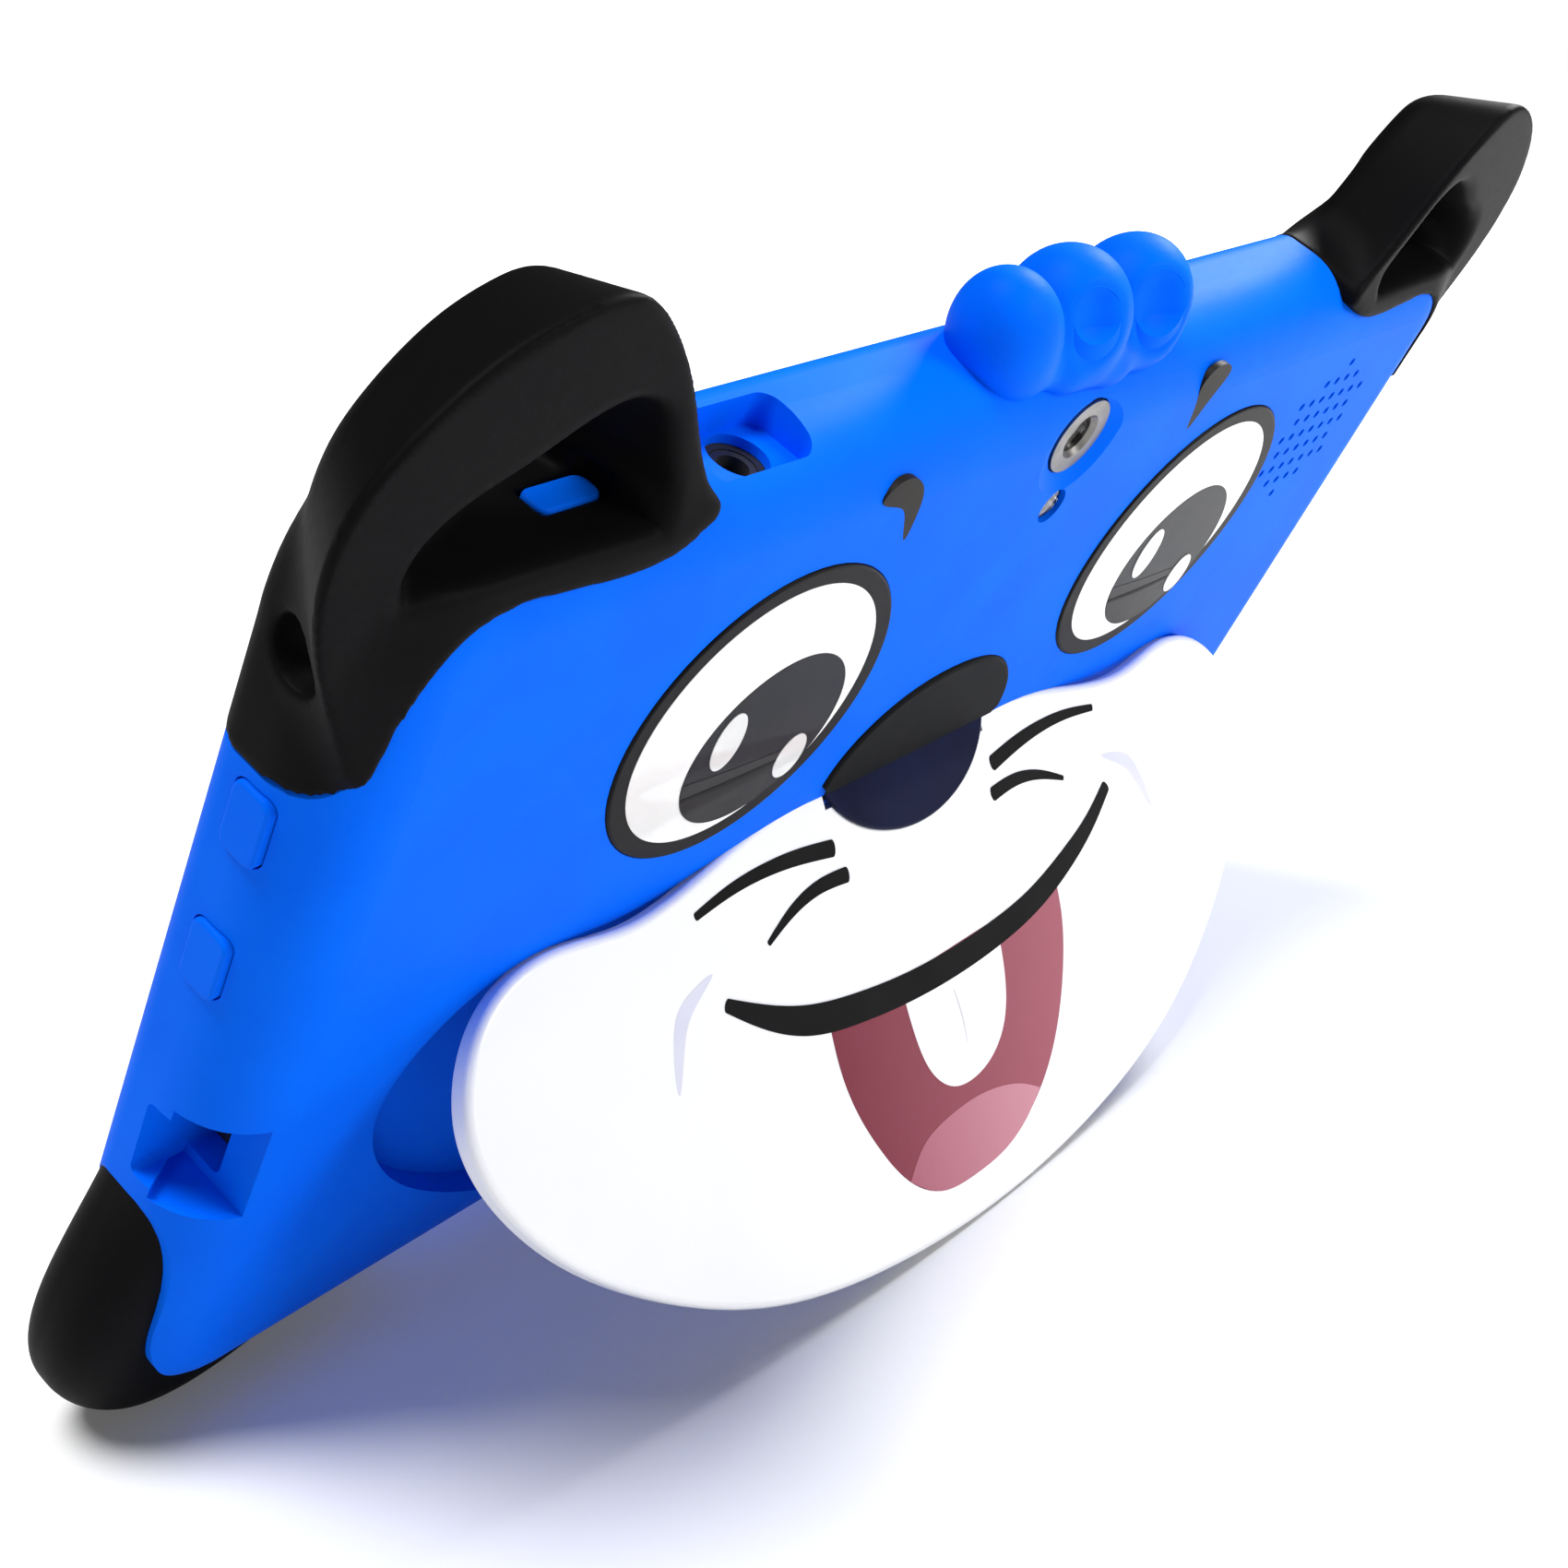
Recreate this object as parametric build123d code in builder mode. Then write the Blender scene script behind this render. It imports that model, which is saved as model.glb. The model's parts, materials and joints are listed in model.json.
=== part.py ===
"""Kids' toy tablet in an animal-face silicone case, standing on its hinged muzzle plate.

Every piece is drawn in the tablet's own leaning plane, `back`: x runs across the case, y up the
case from its centre, and z out of the decorated back, with the screen at negative z. The floor
is the world's XY plane and the origin is the middle of the object's footprint. Millimetres.
"""

from build123d import *

import os
from math import cos, radians, sin, tan

# ---------------------------------------------------------------- driving dimensions
lean = 27.25              # how far the case leans back from upright, degrees
stand_open = 45.0         # the muzzle plate's opening from the case's back, degrees
setback = 4.24            # the case's back stands this far in front of the footprint's middle

case_width = 213.0
case_height = 121.0
case_depth = 16.0
case_corner = 12.0
back_rounding = 9.5
front_rounding = 3.0
back_wall = 5.0           # silicone over the tablet's back
lip_cover = 4.5           # how far the front lip covers the glass edge

tablet_width = 192.0
tablet_height = 111.0
tablet_depth = 9.0
tablet_corner = 8.0
cover_wall = 1.2
snug = 0.1                # gap between silicone and the parts it holds

stand_thickness = 2.8
stand_bottom = -60.2      # lowest point of the closed plate
stand_edge = 0.9
hinge_y = 0.8
floor_trim = 0.5          # stock left below the floor, then cut flat to stand on
hinge_inset = 1.6         # hinge axis behind the case's back face
stand_knuckles = (5.3, 11.9)   # from and to, either side of the middle
bracket_end = 17.0        # outer end of the bracket's outer knuckles
knuckle_gap = 0.15
notch_height = 4.4
bracket_knuckle_radius = 1.3
arm_thickness = 1.2
pin_radius = 0.8
pin_clearance = 0.05
pocket_depth = 3.4
pocket_gap = 1.0

nose_foot = 2.9           # lower edge of the fixed nose piece
nose_foot_half = 17.8
nose_base = 0.8           # depth of the nose piece's underside in its pocket
nose_proud = 0.5
nose_rounding = 0.8
nose_points = [(19.5, 4.5), (17.6, 9.6), (11.5, 14.8), (0.0, 17.2)]
chin_points = [(17.4, 1.2), (14.4, -3.2), (8.6, -6.8), (0.0, -8.4)]
chin_thickness = 0.7

ear_reach = 113.5
ear_back = -1.2
ear_slope_out = 2.2       # degrees the ear's back face falls towards its outer rim
ear_slope_up = 0.5        # degrees it falls towards its top
ear_edge = 1.2
ear_front_rounding = 1.5
ear_root_points = ((-73.0, 56.8), (-97.0, 56.0), (-101.0, 49.0), (-102.0, 40.0))
# the ear tapers towards the screen side about this place in its loop
ear_middle_x = -84.0
ear_middle_y = 50.0
ear_measured_z = -3.0     # where the ear's outline is as listed
ear_taper_x = 0.0244      # share of its width lost for each millimetre further forward
ear_taper_y = 0.0122
bumper_front_rounding = 4.0

ear_top = 2.0             # stock left above the ear's back face, then cut off along it
ear_opening_points = [
    (-103.0, 58.0),
    (-103.2, 61.4),
    (-100.6, 65.0),
    (-94.4, 68.4),
    (-88.2, 71.6),
    (-84.0, 72.2),
    (-80.4, 70.6),
    (-77.0, 66.0),
    (-74.2, 60.6),
    (-74.4, 58.0),
]

bumper_back = -3.6
bumper_rounding = 7.4
bumper_points = [
    (-106.4, -25.5),
    (-109.4, -38.0),
    (-111.0, -50.0),
    (-108.6, -60.5),
    (-102.4, -67.0),
    (-93.0, -69.4),
    (-80.0, -66.4),
    (-62.0, -60.4),
]
bumper_seam_points = [
    (-62.0, -60.4),
    (-80.0, -58.6),
    (-92.0, -58.0),
    (-100.2, -54.6),
    (-103.4, -49.0),
    (-103.8, -41.0),
    (-104.0, -34.5),
    (-106.4, -25.5),
]

eye_x = 44.5
eye_y = 25.8
eye_half_length = 22.2
eye_half_height = 20.0
eye_turn = 18.0
eye_thickness = 1.2
eye_recess = 0.9
eye_edge = 0.4

brow_depth = 0.8
brow_left_points = [
    (-38.5, 53.5),
    (-35.2, 55.1),
    (-32.0, 53.4),
    (-30.2, 49.5),
    (-30.2, 45.6),
    (-33.0, 49.8),
    (-36.2, 51.6),
]
brow_right_points = [
    (28.0, 54.6),
    (30.6, 56.0),
    (33.9, 54.6),
    (32.6, 50.4),
    (30.6, 46.2),
    (29.0, 50.0),
]

# hair tuft: x, y, turn of the petal's long axis, half length, radius
tuft_z = -8.0
tuft_petals = (
    (-13.5, 63.0, 30, 8.5, 6.2),
    (-1.5, 63.5, 6, 8.0, 7.2),
    (12.5, 62.8, -22, 8.2, 7.0),
)
# dents pressed into the petals: x, y, z, radius
tuft_dents = (
    (-6.0, 68.8, -0.6, 4.6),
    (8.8, 68.2, 0.0, 5.6),
)

camera_x = 2.6
camera_y = 50.8
camera_hole_radius = 5.2
camera_dish = 3.4         # how much wider the dish is than the camera hole
bezel_radius = 5.0
bezel_window = 2.4
bezel_inset = 1.0         # the bezel's face below the case's back
window_thickness = 0.7
flash_y = 41.4
flash_radius = 2.3
flash_inset = 0.5
led_hole_radius = 1.6

speaker_x = 77.1
speaker_y = 35.6
speaker_pitch = 3.08
speaker_row = 2.9
speaker_hole_radius = 0.65
speaker_rows = (1, 4, 7, 6, 7, 6, 7, 4, 1)
speaker_slots = 4
speaker_slot_pitch = 4.4

port_y = -16.8
port_z = -7.75
port_window = 14.0
port_reach = 7.0          # how far the port window cuts in from the side
port_floor = -10.2        # the window's floor beside the port
port_lip = -7.0           # and where it runs out in the case's side
port_slot_length = 11.0
port_slot_width = 5.4
port_width = 8.0
port_height = 2.7
port_depth = 5.6
port_wall = 0.3
card_y = -36.0
card_z = -8.35
card_width = 14.6
card_slot = 11.4
card_length = 14.5
jack_x = -55.0
jack_z = -8.35
jack_radius = 1.75
jack_length = 12.0
jack_wall = 0.8
jack_width = 6.4
jack_height = 4.1
jack_window = 15.4
jack_window_height = 8.2
jack_window_z = -8.0
jack_ledge = 1.2          # silicone left on the tablet's edge in the window
jack_mouth_radius = 3.4
stylus_y = 49.5
stylus_z = -7.8
stylus_radius = 3.4
stylus_depth = 7.0         # from the ear's farthest reach to the hole's bottom

volume_up_y = 28.6
volume_down_y = 11.0
power_x = -79.5
button_z = -9.0
button_gap = 0.15
pad_length = 8.2
pad_width = 5.0
pad_corner = 1.4
pad_proud = 0.5           # how far the volume pads stand out of the case's side
power_width = 3.6
power_top = 58.2
power_slot_top = 60.5
key_length = 7.0
key_width = 1.8
key_proud = 0.7           # how far a key stands out of the tablet's edge
flange_length = 8.4
flange_width = 2.6
flange_thickness = 0.8
flange_gap = 0.05
switch_width = 3.6
switch_height = 2.0
switch_depth = 1.5
plunger_radius = 0.6
plunger_length = 0.5

cover_seam = -11.5        # where the rear cover meets the front housing
glass_width = 189.0
glass_height = 108.0
glass_back = -13.2
adhesive = 0.15
lcd_width = 165.0
lcd_height = 100.0
lcd_back = -10.7
front_camera_y = 51.8
front_camera_width = 5.0
front_camera_height = 3.2

board_left = -91.3
board_right = -44.0
board_bottom = -50.0
board_top_edge = 50.8
board_face = -9.1
board_thickness = 1.0
jack_notch = 4.0
screw_radius = 0.75
screw_length = 3.4
screw_head_radius = 1.4
screw_head = 0.45
post_radius = 2.2
screw_places = ((-86, 44), (-49, 38), (-49, -44), (-72, -46))
shield_x = -68.0
shield_y = 2.0
shield_width = 24.0
shield_height = 32.0
shield_rise = 2.0
shield_sheet = 0.25
# chips: x, y, width, height, thickness
chips = (
    (-68, 8, 13, 13, 1.1),
    (-68, -8, 9, 7.5, 1.0),
    (-68, -28, 12, 18, 1.0),
    (-52, 22, 6, 6, 0.9),
)

battery_x = 7.0
battery_y = -6.0
battery_width = 88.0
battery_height = 66.0
battery_thickness = 3.7
tape_width = 70.0
tape_height = 10.0
speaker_width = 24.0
speaker_height = 27.0
speaker_thickness = 3.5
mesh_thickness = 0.2
antenna_x = 34.0
antenna_y = 49.0
flex_thickness = 0.15
lcd_flex_x = -62.0
lcd_flex_y = -18.0
microphone_x = -60.0
microphone_y = -46.0
touch_flex_x = -60.0
touch_flex_width = 12.0
wire_radius = 0.45

# ---------------------------------------------------------------- planes
stand_reach = hinge_y - stand_bottom
stand_tilt = stand_open - lean
back_height = (
    stand_reach * cos(radians(stand_tilt))
    + stand_thickness / 2 * sin(radians(stand_tilt))
    - hinge_y * cos(radians(lean))
    - hinge_inset * sin(radians(lean))
)


def leaning_plane(origin, tilt):
    """Plane facing backwards (-Y) whose top leans back by `tilt` degrees."""
    return Plane(
        origin=origin,
        x_dir=(1, 0, 0),
        z_dir=(0, -cos(radians(tilt)), -sin(radians(tilt))),
    )


back = leaning_plane((0, -setback, back_height), lean)
stand = leaning_plane(back.from_local_coords((0, hinge_y, -hinge_inset)), lean - stand_open)
back_axis = Axis(back.origin, back.z_dir)
stand_axis = Axis(stand.origin, stand.z_dir)


def layer(z):
    """Plane parallel to the case's back at height z above it."""
    return back.offset(z)


def across(x):
    """Section plane at x; its x runs up the case and its y out of the back."""
    return Plane(back.from_local_coords((x, 0, 0)), x_dir=back.y_dir, z_dir=back.x_dir)


def along(y):
    """Section plane at y, facing down; its x runs across the case and its y out of the back."""
    return Plane(back.from_local_coords((0, y, 0)), x_dir=back.x_dir, z_dir=-back.y_dir)


def stand_across(x):
    """Section plane at x; its x runs up the muzzle plate and its y out of it."""
    return Plane(stand.from_local_coords((x, 0, 0)), x_dir=stand.y_dir, z_dir=stand.x_dir)


def save(piece, label):
    """Label a finished piece and write its STEP file."""
    piece.part.label = label
    export_step(piece.part, f"parts/{label}.step")


# ---------------------------------------------------------------- shared outlines
def half_plate_points(grow=0.0):
    """Right half of the closed muzzle plate, from its top edge down to the chin."""
    return [
        (19.0, 1.2 + grow),
        (32.0, 0.2 + grow),
        (45.0, -2.4 + grow),
        (54.0, -3.0 + grow),
        (66.0, -1.6 + grow),
        (76.0, -4.4 + grow * 0.8),
        (82.6 + grow, -15.0),
        (79.5 + grow, -27.0),
        (66.5 + grow * 0.8, -41.5 - grow * 0.6),
        (47.0 + grow * 0.4, -53.0 - grow * 0.9),
        (24.0, -58.9 - grow),
        (0.0, stand_bottom - floor_trim - grow),
    ]


def mirrored(points):
    """The same points reflected to negative x, in order from the last back to the first."""
    return [(-x, y) for x, y in reversed(points)]


def ear_points():
    """Free outline of the left ear's arch, from its outer root over the top to its inner root."""
    return [
        (-104.5, 36.0),
        (-108.8, 43.0),
        (-111.8, 51.0),
        (-ear_reach, 61.0),
        (-112.4, 68.8),
        (-108.6, 74.6),
        (-101.2, 80.8),
        (-94.0, 83.8),
        (-88.2, 84.4),
        (-82.8, 81.0),
        (-76.4, 72.8),
        (-71.8, 65.2),
        (-67.0, 58.5),
    ]


def tapered(x, y, z):
    """Where a point of the ear's listed outline lies at height z."""
    ahead = ear_measured_z - z
    return (
        ear_middle_x + (x - ear_middle_x) * (1 - ear_taper_x * ahead),
        ear_middle_y + (y - ear_middle_y) * (1 - ear_taper_y * ahead),
    )


def ear_boundary_points():
    """Edge between black ear and blue back on the left, from the inner tip to the side wall."""
    return [
        (-66.5, 57.6),
        (-70.0, 55.9),
        (-89.0, 55.6),
        (-97.0, 54.0),
        (-101.0, 48.0),
        (-102.2, 41.0),
        (-104.6, 35.5),
        (-108.5, 33.5),
    ]


def turned(x, y, z, turn):
    """Plane parallel to the case's back at one point, with its x axis turned by `turn` degrees."""
    return Plane(
        origin=back.from_local_coords((x, y, z)),
        x_dir=back.x_dir * cos(radians(turn)) + back.y_dir * sin(radians(turn)),
        z_dir=back.z_dir,
    )


def eye_plane(side, z):
    """Plane of one eye badge; side is -1 for left and 1 for right."""
    return turned(side * eye_x, eye_y, z, side * eye_turn)


def plate_outline(grow=0.0):
    """Closed outline of the closed muzzle plate, grown outwards all round."""
    half = half_plate_points(grow)
    with BuildLine(Plane.XY) as outline:
        chin = Spline(half + mirrored(half)[1:])
        Line(chin @ 1, chin @ 0)
    return outline.line


plate_rim = plate_outline()
pocket_rim = plate_outline(pocket_gap)

with BuildLine(Plane.XY) as nose_rim:
    dome = Spline(nose_points + mirrored(nose_points)[1:])
    Polyline(dome @ 1, (-nose_foot_half, nose_foot), (nose_foot_half, nose_foot), dome @ 0)

with BuildLine(Plane.XY) as chin_rim:
    chin_curve = Spline(chin_points + mirrored(chin_points)[1:])
    Line(chin_curve @ 1, chin_curve @ 0)

# ---------------------------------------------------------------- construction solids
with BuildPart() as case_block:
    with BuildSketch(layer(-case_depth)):
        RectangleRounded(case_width, case_height, case_corner)
    extrude(amount=case_depth)
    fillet(case_block.faces().sort_by(back_axis)[-1].edges(), back_rounding)
    fillet(case_block.faces().sort_by(back_axis)[0].edges(), front_rounding)

with BuildPart() as tablet_room:
    with BuildSketch(layer(-back_wall + snug)):
        RectangleRounded(
            tablet_width + 2 * snug, tablet_height + 2 * snug, tablet_corner + snug
        )
    extrude(amount=-(tablet_depth + 2 * snug))
    with BuildSketch(layer(-back_wall)):
        RectangleRounded(
            tablet_width - 2 * lip_cover, tablet_height - 2 * lip_cover, tablet_corner - 2
        )
    extrude(amount=-case_depth)

with BuildPart() as ear_zone:
    with BuildSketch(layer(-case_depth - 1)):
        with BuildLine():
            seam = Spline(ear_boundary_points())
            Polyline(seam @ 1, (-120, 33.5), (-120, 90), (-66.5, 90), seam @ 0)
        make_face()
    extrude(amount=case_depth + 4)

with BuildPart() as bumper_zone:
    with BuildSketch(layer(-case_depth - 1)):
        with BuildLine():
            seam = Spline(bumper_seam_points)
            Polyline(seam @ 1, (-130, -25.5), (-130, -90), (-62, -90), seam @ 0)
        make_face()
    extrude(amount=case_depth + 4)

with BuildPart() as bumper_block:
    with BuildSketch(layer(-case_depth)):
        with BuildLine():
            rim = Spline(bumper_points)
            Polyline(rim @ 1, (-62, -45), (-90, -25.5), rim @ 0)
        make_face()
    extrude(amount=case_depth + bumper_back)
    back_rims = bumper_block.faces().sort_by(back_axis)[-1].edges().sort_by(SortBy.LENGTH)
    fillet(back_rims[-1], bumper_rounding)
    front_rims = bumper_block.faces().sort_by(back_axis)[0].edges().sort_by(SortBy.LENGTH)
    fillet(front_rims[-1], bumper_front_rounding)

# opening of the left ear's loop, right through the case's depth
with BuildPart() as ear_opening:
    for z in (ear_top, -case_depth - 1):
        with BuildSketch(layer(z)):
            with BuildLine():
                arch_inside = Spline([tapered(x, y, z) for x, y in ear_opening_points])
                Line(arch_inside @ 1, arch_inside @ 0)
            make_face()
    loft()

# ---------------------------------------------------------------- ears and bumpers
ear_face = Plane(
    origin=back.from_local_coords((-67.0, 58.0, ear_back)),
    z_dir=back.z_dir
    - back.x_dir * tan(radians(ear_slope_out))
    + back.y_dir * tan(radians(ear_slope_up)),
)

with BuildPart() as ear_arch:
    for z in (ear_top, -case_depth):
        with BuildSketch(layer(z)):
            with BuildLine():
                crown = Spline([tapered(x, y, z) for x, y in ear_points()])
                roots = [tapered(x, y, z) for x, y in ear_root_points]
                Polyline(crown @ 1, *roots, crown @ 0)
            make_face()
    loft()
    split(bisect_by=ear_face, keep=Keep.BOTTOM)
    add(ear_opening.part, mode=Mode.SUBTRACT)
    face_rims = ear_arch.faces().sort_by(back_axis)[-1].edges().sort_by(SortBy.LENGTH)
    fillet(face_rims[-1], ear_edge)
    front_rims = ear_arch.faces().sort_by(back_axis)[0].edges().sort_by(SortBy.LENGTH)
    fillet(front_rims[-1], ear_front_rounding)

with BuildPart() as ear_loop:
    add(case_block.part)
    add(ear_arch.part)
    add(ear_zone.part, mode=Mode.INTERSECT)
    add(ear_opening.part, mode=Mode.SUBTRACT)
    add(tablet_room.part, mode=Mode.SUBTRACT)

with BuildPart() as bumper_left:
    add(bumper_block.part)
    add(bumper_zone.part, mode=Mode.INTERSECT)
    add(tablet_room.part, mode=Mode.SUBTRACT)
    split(bisect_by=Plane.XY, keep=Keep.TOP)

with BuildPart(across(-ear_reach).offset(-1)) as stylus_hole:
    with Locations((stylus_y, stylus_z)):
        Cylinder(stylus_radius, stylus_depth + 1, align=(Align.CENTER, Align.CENTER, Align.MIN))

with BuildPart() as button_slots:
    for y in (volume_up_y, volume_down_y):
        with BuildSketch(across(-case_width)):
            with Locations((y, button_z)):
                RectangleRounded(
                    pad_length + 2 * button_gap, pad_width + 2 * button_gap, pad_corner
                )
        extrude(amount=case_width / 2 + 12)

with BuildPart() as power_slot:
    with BuildSketch(along(power_slot_top)):
        with Locations((power_x, button_z)):
            RectangleRounded(
                pad_length + 2 * button_gap, power_width + 2 * button_gap, pad_corner
            )
    extrude(amount=power_slot_top - tablet_height / 2 + 2)

# ---------------------------------------------------------------- blue silicone case
with BuildPart() as stand_pocket:
    with BuildSketch(layer(-pocket_depth)):
        add(pocket_rim)
        make_face()
    extrude(amount=pocket_depth + 10)

with BuildPart() as nose_pocket:
    with BuildSketch(layer(-pocket_depth)):
        add(nose_rim.line)
        make_face()
        with Locations((0, nose_foot / 2)):
            Rectangle(2 * nose_foot_half, nose_foot)
    extrude(amount=pocket_depth + 1)

with BuildPart() as eye_sockets:
    for side in (-1, 1):
        with BuildSketch(eye_plane(side, -eye_recess)):
            Ellipse(eye_half_length + snug, eye_half_height + snug)
        extrude(amount=eye_recess + 1)

with BuildPart() as brow_sockets:
    for points in (brow_left_points, brow_right_points):
        with BuildSketch(layer(-brow_depth)):
            with BuildLine():
                Spline(points, periodic=True)
            make_face()
        extrude(amount=brow_depth + 1)

with BuildPart() as speaker_holes:
    for row, count in enumerate(speaker_rows):
        row_y = speaker_y + (row - (len(speaker_rows) - 1) / 2) * speaker_row
        with BuildSketch(layer(-back_wall - 1)):
            with Locations((speaker_x, row_y)):
                with GridLocations(speaker_pitch, speaker_pitch, count, 1):
                    Circle(speaker_hole_radius)
        extrude(amount=back_wall + 2)

with BuildPart() as camera_well:
    with BuildSketch(layer(-back_wall - 1)):
        with Locations((camera_x, camera_y)):
            Circle(camera_hole_radius)
        with Locations((camera_x, flash_y)):
            Circle(flash_radius + snug)
    extrude(amount=back_wall + 2)
    with BuildSketch(layer(-1.3)):
        with Locations((camera_x, camera_y)):
            Circle(camera_hole_radius)
    with BuildSketch(layer(0.3)):
        with Locations((camera_x - 1.0, camera_y + 1.0)):
            Circle(camera_hole_radius + camera_dish)
    loft()

with BuildPart() as port_cut:
    with BuildSketch(along(port_y + port_window / 2)):
        with BuildLine():
            Polyline(
                (-case_width / 2 + port_reach, 2),
                (-case_width / 2 + port_reach, port_floor),
                (-case_width / 2 + port_reach - 2, port_floor),
                (-case_width / 2 - 2, port_lip + 1),
                (-case_width / 2 - 2, 2),
                close=True,
            )
        make_face()
    extrude(amount=port_window)
    with BuildSketch(across(-case_width / 2)):
        with Locations((port_y, port_z)):
            RectangleRounded(port_slot_length, port_slot_width, 1.0)
    extrude(amount=case_width / 2 - tablet_width / 2 + 1)

with BuildPart() as jack_cut:
    with BuildSketch(along(case_height)):
        with Locations((jack_x - 1.3, jack_window_z)):
            RectangleRounded(jack_window, jack_window_height, 2.0)
    extrude(amount=case_height - tablet_height / 2 - jack_ledge)
    with BuildSketch(along(case_height)):
        with Locations((jack_x, jack_z)):
            Circle(jack_mouth_radius)
    extrude(amount=case_height - tablet_height / 2 + 1)

with BuildPart() as hair_tuft:
    for x, y, turn, half_length, radius in tuft_petals:
        petal = turned(x, y, tuft_z, turn)
        with BuildSketch(petal):
            Ellipse(radius, half_length)
            Rectangle(
                2 * radius, 2 * half_length, align=(Align.MAX, Align.CENTER), mode=Mode.SUBTRACT
            )
        revolve(axis=Axis(petal.origin, petal.y_dir))
    for x, y, z, radius in tuft_dents:
        with Locations(Location(back.from_local_coords((x, y, z)))):
            Sphere(radius, mode=Mode.SUBTRACT)

right_ear_zone = ear_zone.part.mirror(Plane.YZ)
right_bumper_zone = bumper_zone.part.mirror(Plane.YZ)

with BuildPart() as case_shell:
    add(case_block.part)
    add(hair_tuft.part)
    add(ear_zone.part, mode=Mode.SUBTRACT)
    add(right_ear_zone, mode=Mode.SUBTRACT)
    add(bumper_zone.part, mode=Mode.SUBTRACT)
    add(right_bumper_zone, mode=Mode.SUBTRACT)
    add(tablet_room.part, mode=Mode.SUBTRACT)
    add(stand_pocket.part, mode=Mode.SUBTRACT)
    add(nose_pocket.part, mode=Mode.SUBTRACT)
    add(eye_sockets.part, mode=Mode.SUBTRACT)
    add(brow_sockets.part, mode=Mode.SUBTRACT)
    add(speaker_holes.part, mode=Mode.SUBTRACT)
    add(camera_well.part, mode=Mode.SUBTRACT)
    add(port_cut.part, mode=Mode.SUBTRACT)
    add(jack_cut.part, mode=Mode.SUBTRACT)
    add(button_slots.part, mode=Mode.SUBTRACT)

with BuildPart() as ear_left:
    add(ear_loop.part)
    add(stylus_hole.part, mode=Mode.SUBTRACT)
    add(power_slot.part, mode=Mode.SUBTRACT)

with BuildPart() as ear_right:
    add(ear_loop.part.mirror(Plane.YZ))
    add(stylus_hole.part.mirror(Plane.YZ), mode=Mode.SUBTRACT)

with BuildPart() as bumper_right:
    add(bumper_left.part.mirror(Plane.YZ))

# ---------------------------------------------------------------- inlays on the case
with BuildPart() as eye_left:
    with BuildSketch(eye_plane(-1, -eye_recess)):
        Ellipse(eye_half_length, eye_half_height)
    extrude(amount=eye_thickness)
    fillet(eye_left.faces().sort_by(back_axis)[-1].edges(), eye_edge)

with BuildPart() as eye_right:
    add(eye_left.part.mirror(Plane.YZ))

with BuildPart() as brow_left:
    with BuildSketch(layer(-brow_depth)):
        with BuildLine():
            Spline(brow_left_points, periodic=True)
        make_face()
    extrude(amount=brow_depth)

with BuildPart() as brow_right:
    with BuildSketch(layer(-brow_depth)):
        with BuildLine():
            Spline(brow_right_points, periodic=True)
        make_face()
    extrude(amount=brow_depth)

with BuildPart() as camera_bezel:
    with BuildSketch(layer(-back_wall)):
        with Locations((camera_x, camera_y)):
            Circle(bezel_radius)
            Circle(bezel_window, mode=Mode.SUBTRACT)
    extrude(amount=back_wall - bezel_inset)
    bezel_rims = camera_bezel.faces().sort_by(back_axis)[-1].edges().sort_by(SortBy.LENGTH)
    chamfer(bezel_rims[0], 0.6)

with BuildPart() as camera_window:
    with BuildSketch(layer(-bezel_inset - 1.0 - window_thickness)):
        with Locations((camera_x, camera_y)):
            Circle(bezel_window)
    extrude(amount=window_thickness)

with BuildPart() as flash_lens:
    with BuildSketch(layer(-back_wall)):
        with Locations((camera_x, flash_y)):
            Circle(flash_radius)
    extrude(amount=back_wall - flash_inset)
    fillet(flash_lens.faces().sort_by(back_axis)[-1].edges(), flash_inset)

# ---------------------------------------------------------------- muzzle stand and hinge
with BuildPart() as muzzle_stand:
    with BuildSketch(stand.offset(-stand_thickness / 2)):
        with Locations((0, -hinge_y)):
            add(plate_rim)
        make_face()
    extrude(amount=stand_thickness)
    fillet(muzzle_stand.faces().sort_by(stand_axis)[-1].edges(), stand_edge)
    fillet(muzzle_stand.faces().sort_by(stand_axis)[0].edges(), stand_edge / 2)
    outer_notch = bracket_end + 2 * knuckle_gap - stand_knuckles[1]
    outer_notch_x = stand_knuckles[1] + outer_notch / 2
    with BuildSketch(stand.offset(-stand_thickness)):
        Rectangle(2 * stand_knuckles[0], notch_height)
        with Locations((-outer_notch_x, 0), (outer_notch_x, 0)):
            Rectangle(outer_notch, notch_height)
    extrude(amount=2 * stand_thickness, mode=Mode.SUBTRACT)
    for start in (stand_knuckles[0], -stand_knuckles[1]):
        with BuildSketch(stand_across(start)):
            Circle(stand_thickness / 2)
            Rectangle(notch_height / 2, stand_thickness, align=(Align.MAX, Align.CENTER))
        extrude(amount=stand_knuckles[1] - stand_knuckles[0])
    with BuildSketch(stand_across(0)):
        Circle(pin_radius + pin_clearance)
    extrude(amount=bracket_end + 4, both=True, mode=Mode.SUBTRACT)
    split(bisect_by=Plane.XY, keep=Keep.TOP)

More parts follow.
